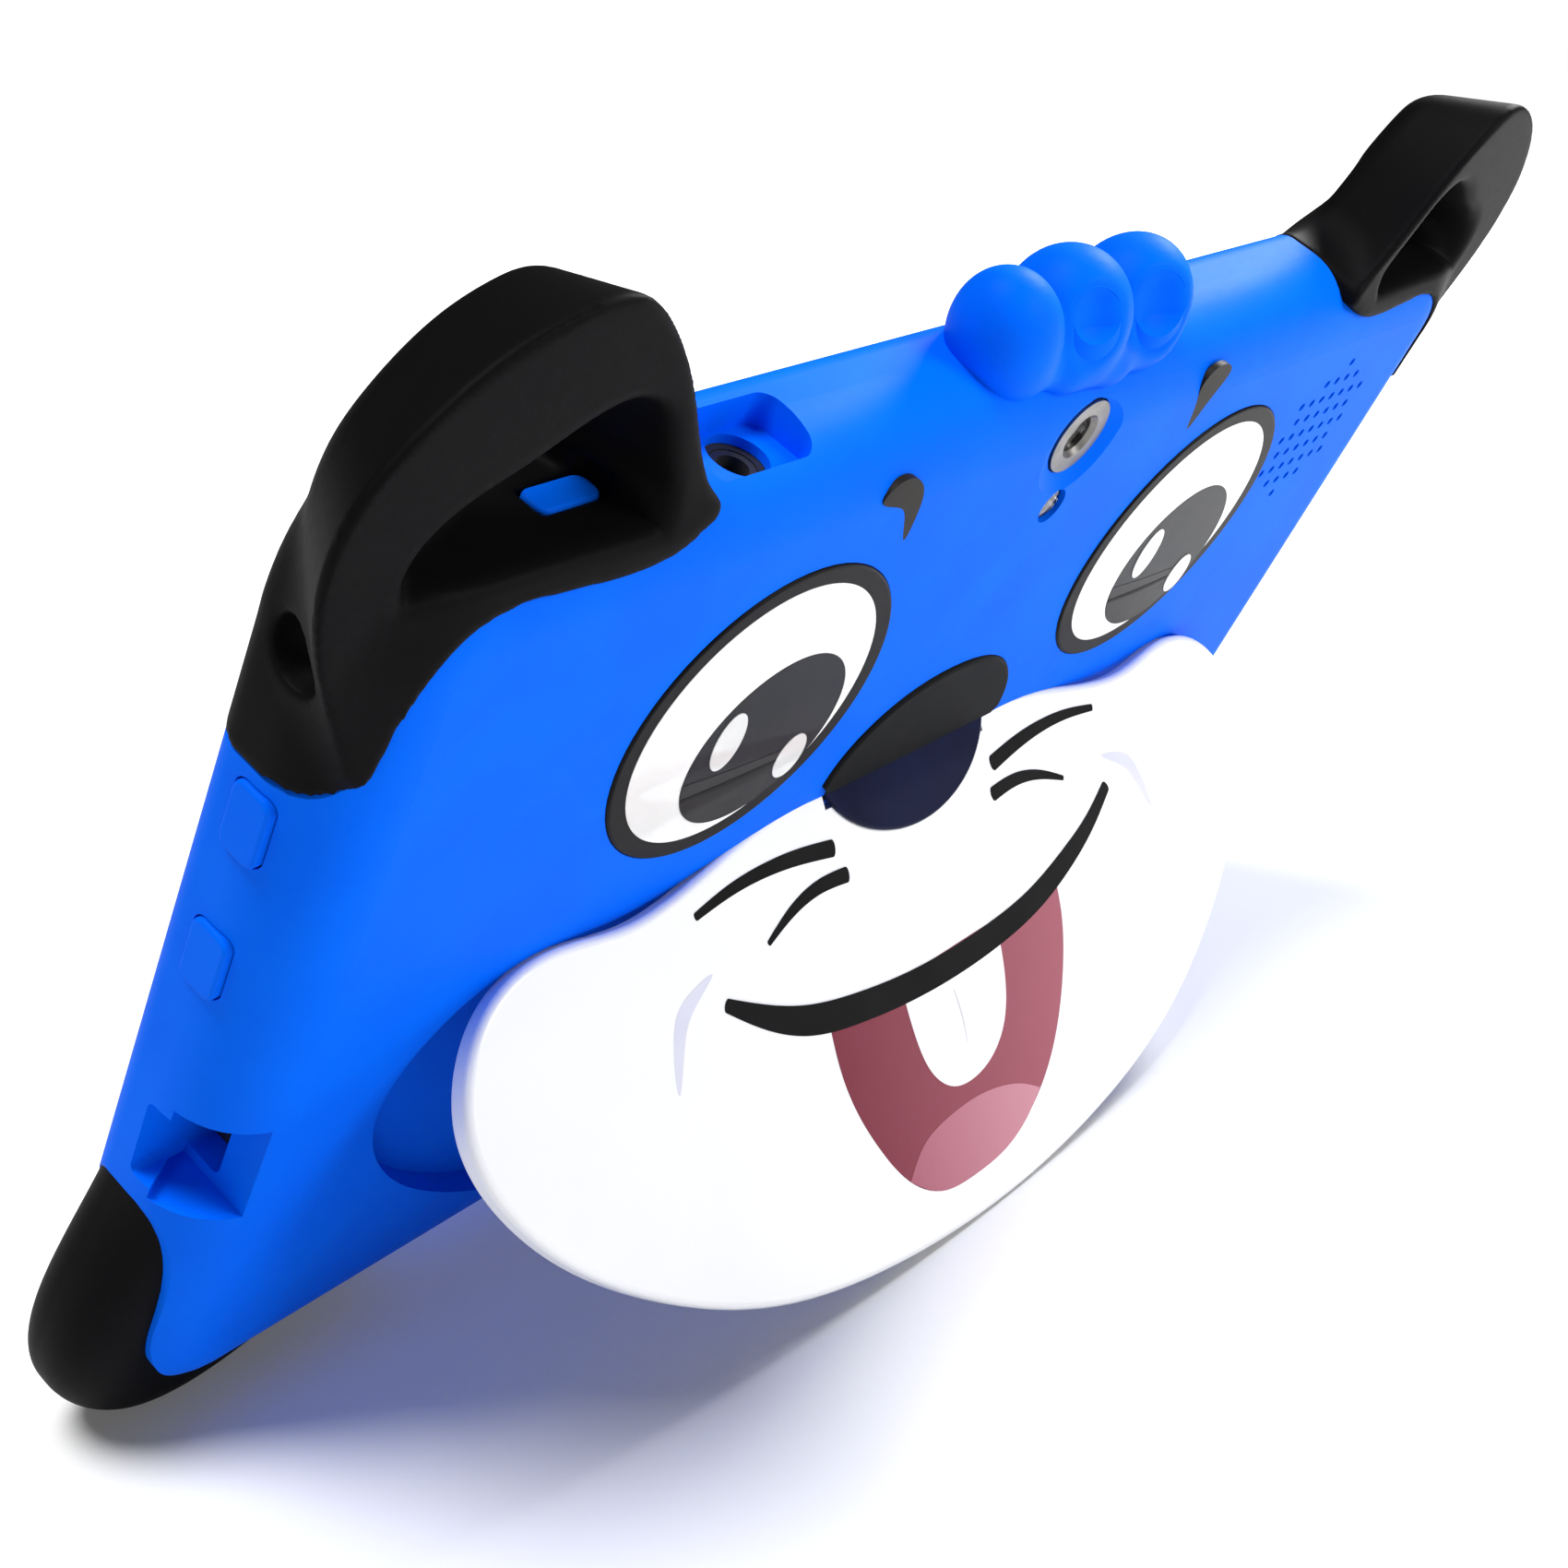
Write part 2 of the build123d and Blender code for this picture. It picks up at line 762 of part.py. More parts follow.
bracket_knuckles = (
    (-bracket_end, -stand_knuckles[1] - knuckle_gap),
    (-stand_knuckles[0] + knuckle_gap, stand_knuckles[0] - knuckle_gap),
    (stand_knuckles[1] + knuckle_gap, bracket_end),
)
with BuildPart() as hinge_bracket:
    with BuildSketch(layer(-pocket_depth)):
        add(nose_rim.line)
        make_face()
    extrude(amount=pocket_depth - nose_base)
    for start, end in bracket_knuckles:
        with BuildSketch(across(start)):
            with Locations((hinge_y, -hinge_inset)):
                Circle(bracket_knuckle_radius)
            with Locations((hinge_y, -hinge_inset - 0.1)):
                Rectangle(
                    nose_foot - hinge_y + 0.6, arm_thickness, align=(Align.MIN, Align.MAX)
                )
        extrude(amount=end - start)
    with BuildSketch(across(0)):
        with Locations((hinge_y, -hinge_inset)):
            Circle(pin_radius)
    extrude(amount=bracket_end + 1, both=True, mode=Mode.SUBTRACT)

with BuildPart() as hinge_pin:
    with BuildSketch(across(0)):
        with Locations((hinge_y, -hinge_inset)):
            Circle(pin_radius)
    extrude(amount=bracket_end, both=True)
    chamfer(hinge_pin.edges().filter_by(GeomType.CIRCLE), 0.2)

with BuildPart() as nose_upper:
    with BuildSketch(layer(-nose_base)):
        add(nose_rim.line)
        make_face()
    extrude(amount=nose_base + nose_proud)
    nose_edges = nose_upper.faces().sort_by(back_axis)[-1].edges().sort_by(SortBy.LENGTH)
    fillet(nose_edges[-1], nose_rounding)

with BuildPart() as nose_lower:
    with BuildSketch(stand.offset(stand_thickness / 2)):
        with Locations((0, -hinge_y)):
            add(chin_rim.line)
        make_face()
    extrude(amount=chin_thickness)
    chin_edges = nose_lower.faces().sort_by(stand_axis)[-1].edges().sort_by(SortBy.LENGTH)
    fillet(chin_edges[-1], chin_thickness / 2)

# ---------------------------------------------------------------- tablet housing
with BuildPart() as rear_cover:
    with BuildSketch(layer(cover_seam)):
        RectangleRounded(tablet_width, tablet_height, tablet_corner)
    extrude(amount=-cover_seam - back_wall)
    fillet(rear_cover.faces().sort_by(back_axis)[-1].edges(), 2.0)
    with BuildSketch(layer(cover_seam)):
        RectangleRounded(
            tablet_width - 2 * cover_wall, tablet_height - 2 * cover_wall, tablet_corner - cover_wall
        )
    extrude(amount=-cover_seam - back_wall - cover_wall, mode=Mode.SUBTRACT)
    with BuildSketch(layer(board_face)):
        with Locations(screw_places):
            Circle(post_radius)
    extrude(amount=-board_face - back_wall - cover_wall)
    with BuildSketch(layer(board_face)):
        with Locations(screw_places):
            Circle(screw_radius)
    extrude(amount=screw_length - board_thickness + 0.1, mode=Mode.SUBTRACT)
    with BuildSketch(layer(-back_wall - cover_wall - 1)):
        with Locations((camera_x, camera_y)):
            Circle(bezel_window + 0.9)
        with Locations((camera_x, flash_y)):
            Circle(led_hole_radius)
        with Locations((speaker_x, speaker_y)):
            with GridLocations(speaker_slot_pitch, speaker_slot_pitch, speaker_slots, 1):
                SlotOverall(speaker_slots * speaker_slot_pitch, 1.6, rotation=90)
    extrude(amount=cover_wall + 2, mode=Mode.SUBTRACT)
    with BuildSketch(along(tablet_height / 2 + 1)):
        with Locations((jack_x, jack_z)):
            Circle(jack_radius + jack_wall + snug)
        with Locations((power_x, button_z)):
            Rectangle(key_length + 2 * button_gap, key_width + 2 * button_gap)
    extrude(amount=cover_wall + 1.5, mode=Mode.SUBTRACT)
    with BuildSketch(across(-tablet_width / 2 - 1)):
        with Locations((volume_up_y, button_z), (volume_down_y, button_z)):
            Rectangle(key_length + 2 * button_gap, key_width + 2 * button_gap)
        with Locations((port_y, port_z)):
            RectangleRounded(port_width + 0.4, port_height + 0.4, 1.0)
        with Locations((card_y, card_z)):
            RectangleRounded(card_slot + 0.4, 1.1, 0.4)
    extrude(amount=cover_wall + 1.5, mode=Mode.SUBTRACT)

with BuildPart() as front_housing:
    with BuildSketch(layer(-back_wall - tablet_depth)):
        RectangleRounded(tablet_width, tablet_height, tablet_corner)
    extrude(amount=tablet_depth + back_wall + cover_seam)
    fillet(front_housing.faces().sort_by(back_axis)[0].edges(), 0.6)
    with BuildSketch(layer(-back_wall - tablet_depth)):
        RectangleRounded(glass_width + 0.2, glass_height + 0.2, tablet_corner - 1.4)
    extrude(amount=tablet_depth + back_wall + glass_back + adhesive, mode=Mode.SUBTRACT)
    with BuildSketch(layer(-back_wall - tablet_depth)):
        Rectangle(lcd_width + 0.4, lcd_height + 0.4)
        with Locations((0, front_camera_y)):
            Rectangle(front_camera_width + 0.2, front_camera_height + 0.2)
        with Locations((touch_flex_x, -front_camera_y)):
            Rectangle(touch_flex_width + 0.4, 0.6)
    extrude(amount=tablet_depth, mode=Mode.SUBTRACT)

with BuildPart() as touch_glass:
    with BuildSketch(layer(-back_wall - tablet_depth)):
        RectangleRounded(glass_width, glass_height, tablet_corner - 1.5)
    extrude(amount=tablet_depth + back_wall + glass_back)
    chamfer(touch_glass.faces().sort_by(back_axis)[0].edges(), 0.2)

with BuildPart() as glass_adhesive:
    with BuildSketch(layer(glass_back)):
        RectangleRounded(glass_width - 1, glass_height - 1, tablet_corner - 2)
        Rectangle(lcd_width + 2, lcd_height + 0.8, mode=Mode.SUBTRACT)
        with Locations((0, front_camera_y)):
            Circle(1.3, mode=Mode.SUBTRACT)
        with Locations((touch_flex_x, -front_camera_y)):
            Rectangle(touch_flex_width + 1, 0.6, mode=Mode.SUBTRACT)
    extrude(amount=adhesive)

with BuildPart() as lcd_panel:
    with BuildSketch(layer(glass_back + adhesive)):
        Rectangle(lcd_width, lcd_height)
    extrude(amount=lcd_back - glass_back - adhesive)
    chamfer(lcd_panel.faces().sort_by(back_axis)[-1].edges(), 0.4)

# ---------------------------------------------------------------- electronics
with BuildPart() as main_board:
    with BuildSketch(layer(board_face - board_thickness)):
        with BuildLine():
            Polyline(
                (board_left, board_bottom),
                (board_right, board_bottom),
                (board_right, board_top_edge),
                (jack_x + jack_notch, board_top_edge),
                (jack_x + jack_notch, board_top_edge - 9),
                (jack_x - jack_notch, board_top_edge - 9),
                (jack_x - jack_notch, board_top_edge),
                (board_left, board_top_edge),
                close=True,
            )
        make_face()
        with Locations(screw_places):
            Circle(screw_radius + 0.15, mode=Mode.SUBTRACT)
    extrude(amount=board_thickness)

with BuildPart() as board_screws:
    with BuildSketch(layer(board_face - board_thickness - screw_head)):
        with Locations(screw_places):
            Circle(screw_head_radius)
    extrude(amount=screw_head)
    with BuildSketch(layer(board_face - board_thickness)):
        with Locations(screw_places):
            Circle(screw_radius)
    extrude(amount=screw_length)

with BuildPart() as board_chips:
    for x, y, width, height, thickness in chips:
        with BuildSketch(layer(board_face)):
            with Locations((x, y)):
                Rectangle(width, height)
        extrude(amount=thickness)

with BuildPart() as shield_can:
    with BuildSketch(layer(board_face)):
        with Locations((shield_x, shield_y)):
            RectangleRounded(shield_width, shield_height, 1.0)
    extrude(amount=shield_rise)
    with BuildSketch(layer(board_face)):
        with Locations((shield_x, shield_y)):
            RectangleRounded(
                shield_width - 2 * shield_sheet, shield_height - 2 * shield_sheet, 0.75
            )
    extrude(amount=shield_rise - shield_sheet, mode=Mode.SUBTRACT)

with BuildPart() as headphone_jack:
    with BuildSketch(along(tablet_height / 2 - cover_wall - snug)):
        with Locations((jack_x, jack_z)):
            Rectangle(jack_width, jack_height)
    extrude(amount=jack_length)
    with BuildSketch(along(tablet_height / 2 - snug)):
        with Locations((jack_x, jack_z)):
            Circle(jack_radius + jack_wall)
    extrude(amount=cover_wall)
    with BuildSketch(along(tablet_height / 2 - snug)):
        with Locations((jack_x, jack_z)):
            Circle(jack_radius)
    extrude(amount=jack_length, mode=Mode.SUBTRACT)

with BuildPart() as usb_port:
    with BuildSketch(across(-tablet_width / 2 + snug)):
        with Locations((port_y, port_z)):
            RectangleRounded(port_width, port_height, 0.8)
    extrude(amount=port_depth)
    with BuildSketch(across(-tablet_width / 2 + snug)):
        with Locations((port_y, port_z)):
            RectangleRounded(port_width - 2 * port_wall, port_height - 2 * port_wall, 0.5)
    extrude(amount=port_depth - port_wall, mode=Mode.SUBTRACT)
    with BuildSketch(across(-tablet_width / 2 + 0.8)):
        with Locations((port_y, port_z + 0.25)):
            Rectangle(port_width - 2.4, 0.6)
    extrude(amount=port_depth - 1.0)

with BuildPart() as card_socket:
    with BuildSketch(across(-tablet_width / 2 + cover_wall + snug)):
        with Locations((card_y, card_z)):
            Rectangle(card_width, 1.5)
            Rectangle(card_slot, 0.9, mode=Mode.SUBTRACT)
    extrude(amount=card_length - 1)
    with BuildSketch(across(-tablet_width / 2 + cover_wall + snug + card_length - 1)):
        with Locations((card_y, card_z)):
            Rectangle(card_width, 1.5)
    extrude(amount=1)

with BuildPart() as rear_camera:
    with BuildSketch(layer(-back_wall - cover_wall - 4.1)):
        with Locations((camera_x, camera_y)):
            Rectangle(6.6, 6.6)
    extrude(amount=4.0)
    with BuildSketch(layer(-back_wall - cover_wall - 0.1)):
        with Locations((camera_x, camera_y)):
            Circle(bezel_window + 0.5)
    extrude(amount=cover_wall)

with BuildPart() as flash_led:
    with BuildSketch(layer(-back_wall - cover_wall - 0.8)):
        with Locations((camera_x, flash_y)):
            Rectangle(4.0, 3.2)
    extrude(amount=0.8)

with BuildPart() as front_camera:
    with BuildSketch(layer(glass_back + 0.4)):
        with Locations((0, front_camera_y)):
            Rectangle(front_camera_width, front_camera_height)
    extrude(amount=2.0)
    with BuildSketch(layer(glass_back)):
        with Locations((0, front_camera_y)):
            Circle(1.0)
    extrude(amount=0.4)

with BuildPart() as speaker:
    with BuildSketch(layer(-back_wall - cover_wall - mesh_thickness - speaker_thickness)):
        with Locations((speaker_x, speaker_y)):
            RectangleRounded(speaker_width, speaker_height, 2.0)
    extrude(amount=speaker_thickness)
    fillet(speaker.faces().sort_by(back_axis)[0].edges(), 0.8)

with BuildPart() as speaker_mesh:
    with BuildSketch(layer(-back_wall - cover_wall - mesh_thickness)):
        with Locations((speaker_x, speaker_y)):
            RectangleRounded(speaker_width - 3, speaker_height - 3, 2.0)
    extrude(amount=mesh_thickness)

with BuildPart() as microphone:
    with BuildSketch(layer(board_face)):
        with Locations((microphone_x, microphone_y)):
            Rectangle(3.8, 3.0)
    extrude(amount=1.1)

with BuildPart() as battery:
    with BuildSketch(layer(lcd_back + adhesive)):
        with Locations((battery_x, battery_y)):
            RectangleRounded(battery_width, battery_height, 2.0)
    extrude(amount=battery_thickness)
    fillet(battery.faces().sort_by(back_axis)[-1].edges(), 1.0)

with BuildPart() as battery_tape:
    with BuildSketch(layer(lcd_back)):
        with Locations((battery_x, battery_y + 22), (battery_x, battery_y - 22)):
            Rectangle(tape_width, tape_height)
    extrude(amount=adhesive)

with BuildPart() as wifi_antenna:
    with BuildSketch(layer(-back_wall - cover_wall - mesh_thickness)):
        with Locations((antenna_x, antenna_y)):
            RectangleRounded(40, 7, 0.8)
    extrude(amount=mesh_thickness)

with BuildPart() as lcd_flex:
    with BuildSketch(layer(lcd_back)):
        with Locations((lcd_flex_x, lcd_flex_y)):
            RectangleRounded(24, 18, 1.0)
    extrude(amount=flex_thickness)

with BuildPart() as touch_flex:
    with BuildSketch(across(touch_flex_x)):
        with Locations((-front_camera_y, glass_back)):
            Rectangle(flex_thickness, lcd_back - glass_back + 0.5, align=(Align.CENTER, Align.MIN))
        with Locations((-front_camera_y, lcd_back + 0.5)):
            Rectangle(14, flex_thickness, align=(Align.MIN, Align.MAX))
    extrude(amount=touch_flex_width / 2, both=True)

with BuildPart() as battery_lead:
    for y in (12.0, 14.0):
        with BuildLine(back) as lead:
            Spline((-37.3, y, -8.5), (-41.5, y + 1.2, -8.2), (-46.5, y + 0.4, -8.6))
        with BuildSketch(Plane(origin=lead.line @ 0, z_dir=lead.line % 0)):
            Circle(wire_radius)
        sweep(path=lead.line)

with BuildPart() as speaker_lead:
    for y in (30.0, 32.0):
        with BuildLine(back) as lead:
            Spline((64.9, y, -8.5), (20.0, y - 0.6, -8.4), (-30.0, y + 0.8, -8.3), (-47.0, y, -8.6))
        with BuildSketch(Plane(origin=lead.line @ 0, z_dir=lead.line % 0)):
            Circle(wire_radius)
        sweep(path=lead.line)

with BuildPart() as antenna_cable:
    with BuildLine(back) as lead:
        Spline((16.0, 47.0, -6.9), (2.0, 45.2, -7.6), (-22.0, 45.0, -8.4), (-46.5, 46.0, -8.6))
    with BuildSketch(Plane(origin=lead.line @ 0, z_dir=lead.line % 0)):
        Circle(wire_radius)
    sweep(path=lead.line)

# ---------------------------------------------------------------- side buttons
with BuildPart() as tact_switches:
    with BuildSketch(across(board_left)):
        with Locations((volume_up_y, button_z), (volume_down_y, button_z)):
            Rectangle(switch_width, switch_height)
    extrude(amount=-switch_depth)
    with BuildSketch(across(board_left - switch_depth)):
        with Locations((volume_up_y, button_z), (volume_down_y, button_z)):
            Circle(plunger_radius)
    extrude(amount=-plunger_length)
    with BuildSketch(along(board_top_edge)):
        with Locations((power_x, button_z)):
            Rectangle(switch_width, switch_height)
    extrude(amount=-switch_depth)
    with BuildSketch(along(board_top_edge + switch_depth)):
        with Locations((power_x, button_z)):
            Circle(plunger_radius)
    extrude(amount=-plunger_length)

cover_inside = tablet_width / 2 - cover_wall - flange_gap
with BuildPart() as volume_up_key:
    with BuildSketch(across(-cover_inside)):
        with Locations((volume_up_y, button_z)):
            Rectangle(flange_length, flange_width)
    extrude(amount=flange_thickness)
    with BuildSketch(across(-cover_inside)):
        with Locations((volume_up_y, button_z)):
            Rectangle(key_length, key_width)
    extrude(amount=-(cover_wall + flange_gap + key_proud))

with BuildPart() as volume_down_key:
    with BuildSketch(across(-cover_inside)):
        with Locations((volume_down_y, button_z)):
            Rectangle(flange_length, flange_width)
    extrude(amount=flange_thickness)
    with BuildSketch(across(-cover_inside)):
        with Locations((volume_down_y, button_z)):
            Rectangle(key_length, key_width)
    extrude(amount=-(cover_wall + flange_gap + key_proud))

cover_ceiling = tablet_height / 2 - cover_wall - flange_gap
with BuildPart() as power_key:
    with BuildSketch(along(cover_ceiling)):
        with Locations((power_x, button_z)):
            Rectangle(flange_length, flange_width)
    extrude(amount=flange_thickness)
    with BuildSketch(along(cover_ceiling)):
        with Locations((power_x, button_z)):
            Rectangle(key_length, key_width)
    extrude(amount=-(cover_wall + flange_gap + key_proud))

with BuildPart() as volume_up_pad:
    with BuildSketch(across(-case_width / 2 - pad_proud)):
        with Locations((volume_up_y, button_z)):
            RectangleRounded(pad_length, pad_width, pad_corner)
    extrude(amount=(case_width - tablet_width) / 2 + pad_proud - key_proud)
    fillet(volume_up_pad.faces().sort_by(Axis.X)[0].edges(), 0.45)

with BuildPart() as volume_down_pad:
    with BuildSketch(across(-case_width / 2 - pad_proud)):
        with Locations((volume_down_y, button_z)):
            RectangleRounded(pad_length, pad_width, pad_corner)
    extrude(amount=(case_width - tablet_width) / 2 + pad_proud - key_proud)
    fillet(volume_down_pad.faces().sort_by(Axis.X)[0].edges(), 0.45)

with BuildPart() as power_pad:
    with BuildSketch(along(power_top)):
        with Locations((power_x, button_z)):
            RectangleRounded(pad_length, power_width, pad_corner)
    extrude(amount=power_top - tablet_height / 2 - key_proud)
    fillet(power_pad.faces().sort_by(Axis(back.origin, back.y_dir))[-1].edges(), 0.5)

# ---------------------------------------------------------------- write every piece
os.makedirs("parts", exist_ok=True)
save(case_shell, "case_shell")
save(ear_left, "ear_left")
save(ear_right, "ear_right")
save(bumper_left, "bumper_left")
save(bumper_right, "bumper_right")
save(eye_left, "eye_left")
save(eye_right, "eye_right")
save(brow_left, "brow_left")
save(brow_right, "brow_right")
save(camera_bezel, "camera_bezel")
save(camera_window, "camera_window")
save(flash_lens, "flash_lens")
save(muzzle_stand, "muzzle_stand")
save(hinge_bracket, "hinge_bracket")
save(hinge_pin, "hinge_pin")
save(nose_upper, "nose_upper")
save(nose_lower, "nose_lower")
save(rear_cover, "rear_cover")
save(front_housing, "front_housing")
save(touch_glass, "touch_glass")
save(glass_adhesive, "glass_adhesive")
save(lcd_panel, "lcd_panel")
save(main_board, "main_board")
save(board_screws, "board_screws")
save(board_chips, "board_chips")
save(shield_can, "shield_can")
save(headphone_jack, "headphone_jack")
save(usb_port, "usb_port")
save(card_socket, "card_socket")
save(rear_camera, "rear_camera")
save(flash_led, "flash_led")
save(front_camera, "front_camera")
save(speaker, "speaker")
save(speaker_mesh, "speaker_mesh")
save(microphone, "microphone")
save(battery, "battery")
save(battery_tape, "battery_tape")
save(wifi_antenna, "wifi_antenna")
save(antenna_cable, "antenna_cable")
save(lcd_flex, "lcd_flex")
save(touch_flex, "touch_flex")
save(battery_lead, "battery_lead")
save(speaker_lead, "speaker_lead")
save(tact_switches, "tact_switches")
save(volume_up_key, "volume_up_key")
save(volume_down_key, "volume_down_key")
save(power_key, "power_key")
save(volume_up_pad, "volume_up_pad")
save(volume_down_pad, "volume_down_pad")
save(power_pad, "power_pad")
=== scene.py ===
"""Looks of the kids' tablet in its animal-face case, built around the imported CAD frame.

Lengths in this script are millimetres in one of two flat systems, turned into the frame's metres by
`on_case` (x across the case, y up it from its middle, z out of its decorated back) and `on_plate`
(the same x and y on the closed muzzle plate, z out of its middle plane). The soft silicone parts
are shaped as signed distances on a fine grid in the case's system and meshed from that.
"""

import json
import math

import bpy
import numpy as np
import openvdb
from mathutils import Matrix, Vector

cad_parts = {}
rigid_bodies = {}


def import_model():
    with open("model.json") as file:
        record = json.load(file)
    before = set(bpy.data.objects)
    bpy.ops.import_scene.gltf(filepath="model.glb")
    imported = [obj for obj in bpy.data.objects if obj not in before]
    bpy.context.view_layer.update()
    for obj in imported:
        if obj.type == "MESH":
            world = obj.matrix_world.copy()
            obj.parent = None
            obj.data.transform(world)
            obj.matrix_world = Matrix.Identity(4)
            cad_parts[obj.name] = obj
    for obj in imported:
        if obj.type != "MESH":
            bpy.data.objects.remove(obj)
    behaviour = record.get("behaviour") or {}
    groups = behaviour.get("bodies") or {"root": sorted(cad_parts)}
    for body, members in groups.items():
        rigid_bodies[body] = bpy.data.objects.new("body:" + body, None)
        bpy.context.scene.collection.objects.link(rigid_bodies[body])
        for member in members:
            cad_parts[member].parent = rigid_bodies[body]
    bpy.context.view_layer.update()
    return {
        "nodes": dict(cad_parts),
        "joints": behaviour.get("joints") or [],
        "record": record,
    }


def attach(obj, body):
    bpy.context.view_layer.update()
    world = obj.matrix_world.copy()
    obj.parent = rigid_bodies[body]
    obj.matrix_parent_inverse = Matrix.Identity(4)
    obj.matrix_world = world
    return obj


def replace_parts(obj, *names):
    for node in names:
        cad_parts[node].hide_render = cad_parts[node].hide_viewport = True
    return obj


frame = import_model()

# ------------------------------------------------------------------ the two flat systems
MM = 0.001
HINGE_UP = 0.8            # the hinge axis above the case's middle
HINGE_IN = 1.6            # and below the face of the case's back
PLATE_HALF = 1.4          # half the muzzle plate's thickness

joints = {joint["name"]: joint for joint in frame["joints"]}
ACROSS = Vector((1, 0, 0))
CASE_UP = -Vector(joints["power_press"]["axis"]).normalized()
CASE_OUT = ACROSS.cross(CASE_UP).normalized()
HINGE = Vector(joints["stand_hinge"]["pos_m"])
OPENING = math.radians(max(joints["stand_hinge"]["range_deg"]))
PLATE_UP = Matrix.Rotation(-OPENING, 3, ACROSS) @ CASE_UP
PLATE_OUT = ACROSS.cross(PLATE_UP).normalized()
CASE_MIDDLE = HINGE - CASE_UP * HINGE_UP * MM + CASE_OUT * HINGE_IN * MM


def on_case(x, y, z=0.0):
    """The frame's point for a place on the case's back."""
    return CASE_MIDDLE + (ACROSS * x + CASE_UP * y + CASE_OUT * z) * MM


def on_plate(x, y, z=0.0):
    """The frame's point for a place on the muzzle plate, with y measured as on the closed plate."""
    return HINGE + (ACROSS * x + PLATE_UP * (y - HINGE_UP) + PLATE_OUT * z) * MM


# ------------------------------------------------------------------ node-material helpers
TINT_SPAN = (0.35, 0.65)  # the stretch of the noise over which one tint turns into the other
BUMP_FINENESS = 6         # how much finer the bump's grain is than the roughness's
BUMP_STRENGTH = 0.5
COAT_ROUGHNESS = 0.04
GLASS_INDEX = 1.46


def new_material(name):
    """Empty node material and its Principled shader."""
    material = bpy.data.materials.new(name)
    material.use_nodes = True
    return material, material.node_tree.nodes["Principled BSDF"]


def add_node(material, kind, **values):
    """A shader node with the named properties or inputs set."""
    made = material.node_tree.nodes.new(kind)
    for key, value in values.items():
        if hasattr(made, key):
            setattr(made, key, value)
        else:
            made.inputs[key.replace("_", " ")].default_value = value
    return made


def link(material, source, target):
    material.node_tree.links.new(source, target)


def grain(material, scale, detail=3.0):
    """Noise in the object's own coordinates; scale is in features per metre."""
    place = add_node(material, "ShaderNodeTexCoord")
    noise = add_node(material, "ShaderNodeTexNoise", Scale=scale, Detail=detail)
    link(material, place.outputs["Object"], noise.inputs["Vector"])
    return noise


def vary(material, shader, colour, other, scale):
    """Base colour drifting between two tints over the surface."""
    noise = grain(material, scale)
    ramp = add_node(material, "ShaderNodeValToRGB")
    for element, position, tint in zip(ramp.color_ramp.elements, TINT_SPAN, (colour, other)):
        element.position = position
        element.color = (*tint, 1)
    link(material, noise.outputs["Fac"], ramp.inputs["Fac"])
    link(material, ramp.outputs["Color"], shader.inputs["Base Color"])


def rough_and_bump(material, shader, roughness, spread, scale, depth):
    """Roughness that wanders by `spread` and a fine bump `depth` millimetres high."""
    noise = grain(material, scale, detail=4.0)
    span = add_node(material, "ShaderNodeMapRange", To_Min=roughness - spread, To_Max=roughness + spread)
    link(material, noise.outputs["Fac"], span.inputs["Value"])
    link(material, span.outputs["Result"], shader.inputs["Roughness"])
    fine = grain(material, scale * BUMP_FINENESS)
    bump = add_node(material, "ShaderNodeBump", Strength=BUMP_STRENGTH, Distance=depth * MM)
    link(material, fine.outputs["Fac"], bump.inputs["Height"])
    link(material, bump.outputs["Normal"], shader.inputs["Normal"])


def silicone(name, colour, other, roughness, gloss):
    """Matte moulded silicone; `gloss` scales how much it reflects."""
    material, shader = new_material(name)
    vary(material, shader, colour, other, scale=60)
    rough_and_bump(material, shader, roughness, spread=0.04, scale=900, depth=0.03)
    shader.inputs["Specular IOR Level"].default_value = gloss
    return material


def plastic(name, colour, other, roughness, coat=0.0, depth=0.015, gloss=0.5):
    """Hard plastic, print or glass that isn't seen through; `coat` lays a clear gloss over it."""
    material, shader = new_material(name)
    shader.inputs["Specular IOR Level"].default_value = gloss
    vary(material, shader, colour, other, scale=90)
    rough_and_bump(material, shader, roughness, spread=0.03, scale=500, depth=depth)
    shader.inputs["Coat Weight"].default_value = coat
    shader.inputs["Coat Roughness"].default_value = COAT_ROUGHNESS
    return material


def metal(name, colour, other, roughness):
    material, shader = new_material(name)
    vary(material, shader, colour, other, scale=400)
    rough_and_bump(material, shader, roughness, spread=0.06, scale=1500, depth=0.01)
    shader.inputs["Metallic"].default_value = 1.0
    return material


def clear(name, tint):
    """Glass that is seen through."""
    material, shader = new_material(name)
    vary(material, shader, tint, tuple(0.96 * c for c in tint), scale=200)
    rough_and_bump(material, shader, roughness=0.06, spread=0.02, scale=700, depth=0.002)
    shader.inputs["Transmission Weight"].default_value = 1.0
    shader.inputs["IOR"].default_value = GLASS_INDEX
    return material


# ------------------------------------------------------------------ the record's material slots
BLUE = (0.0, 0.13, 0.86)
BLUE_DEEP = (0.0, 0.115, 0.82)
BLACK = (0.003, 0.0028, 0.0034)
BLACK_WORN = (0.0042, 0.004, 0.004)

slot_materials = {}


def slot_look(name, make, *look, **extras):
    """Make the material of one slot of the record."""
    slot_materials[name] = make(name, *look, **extras)


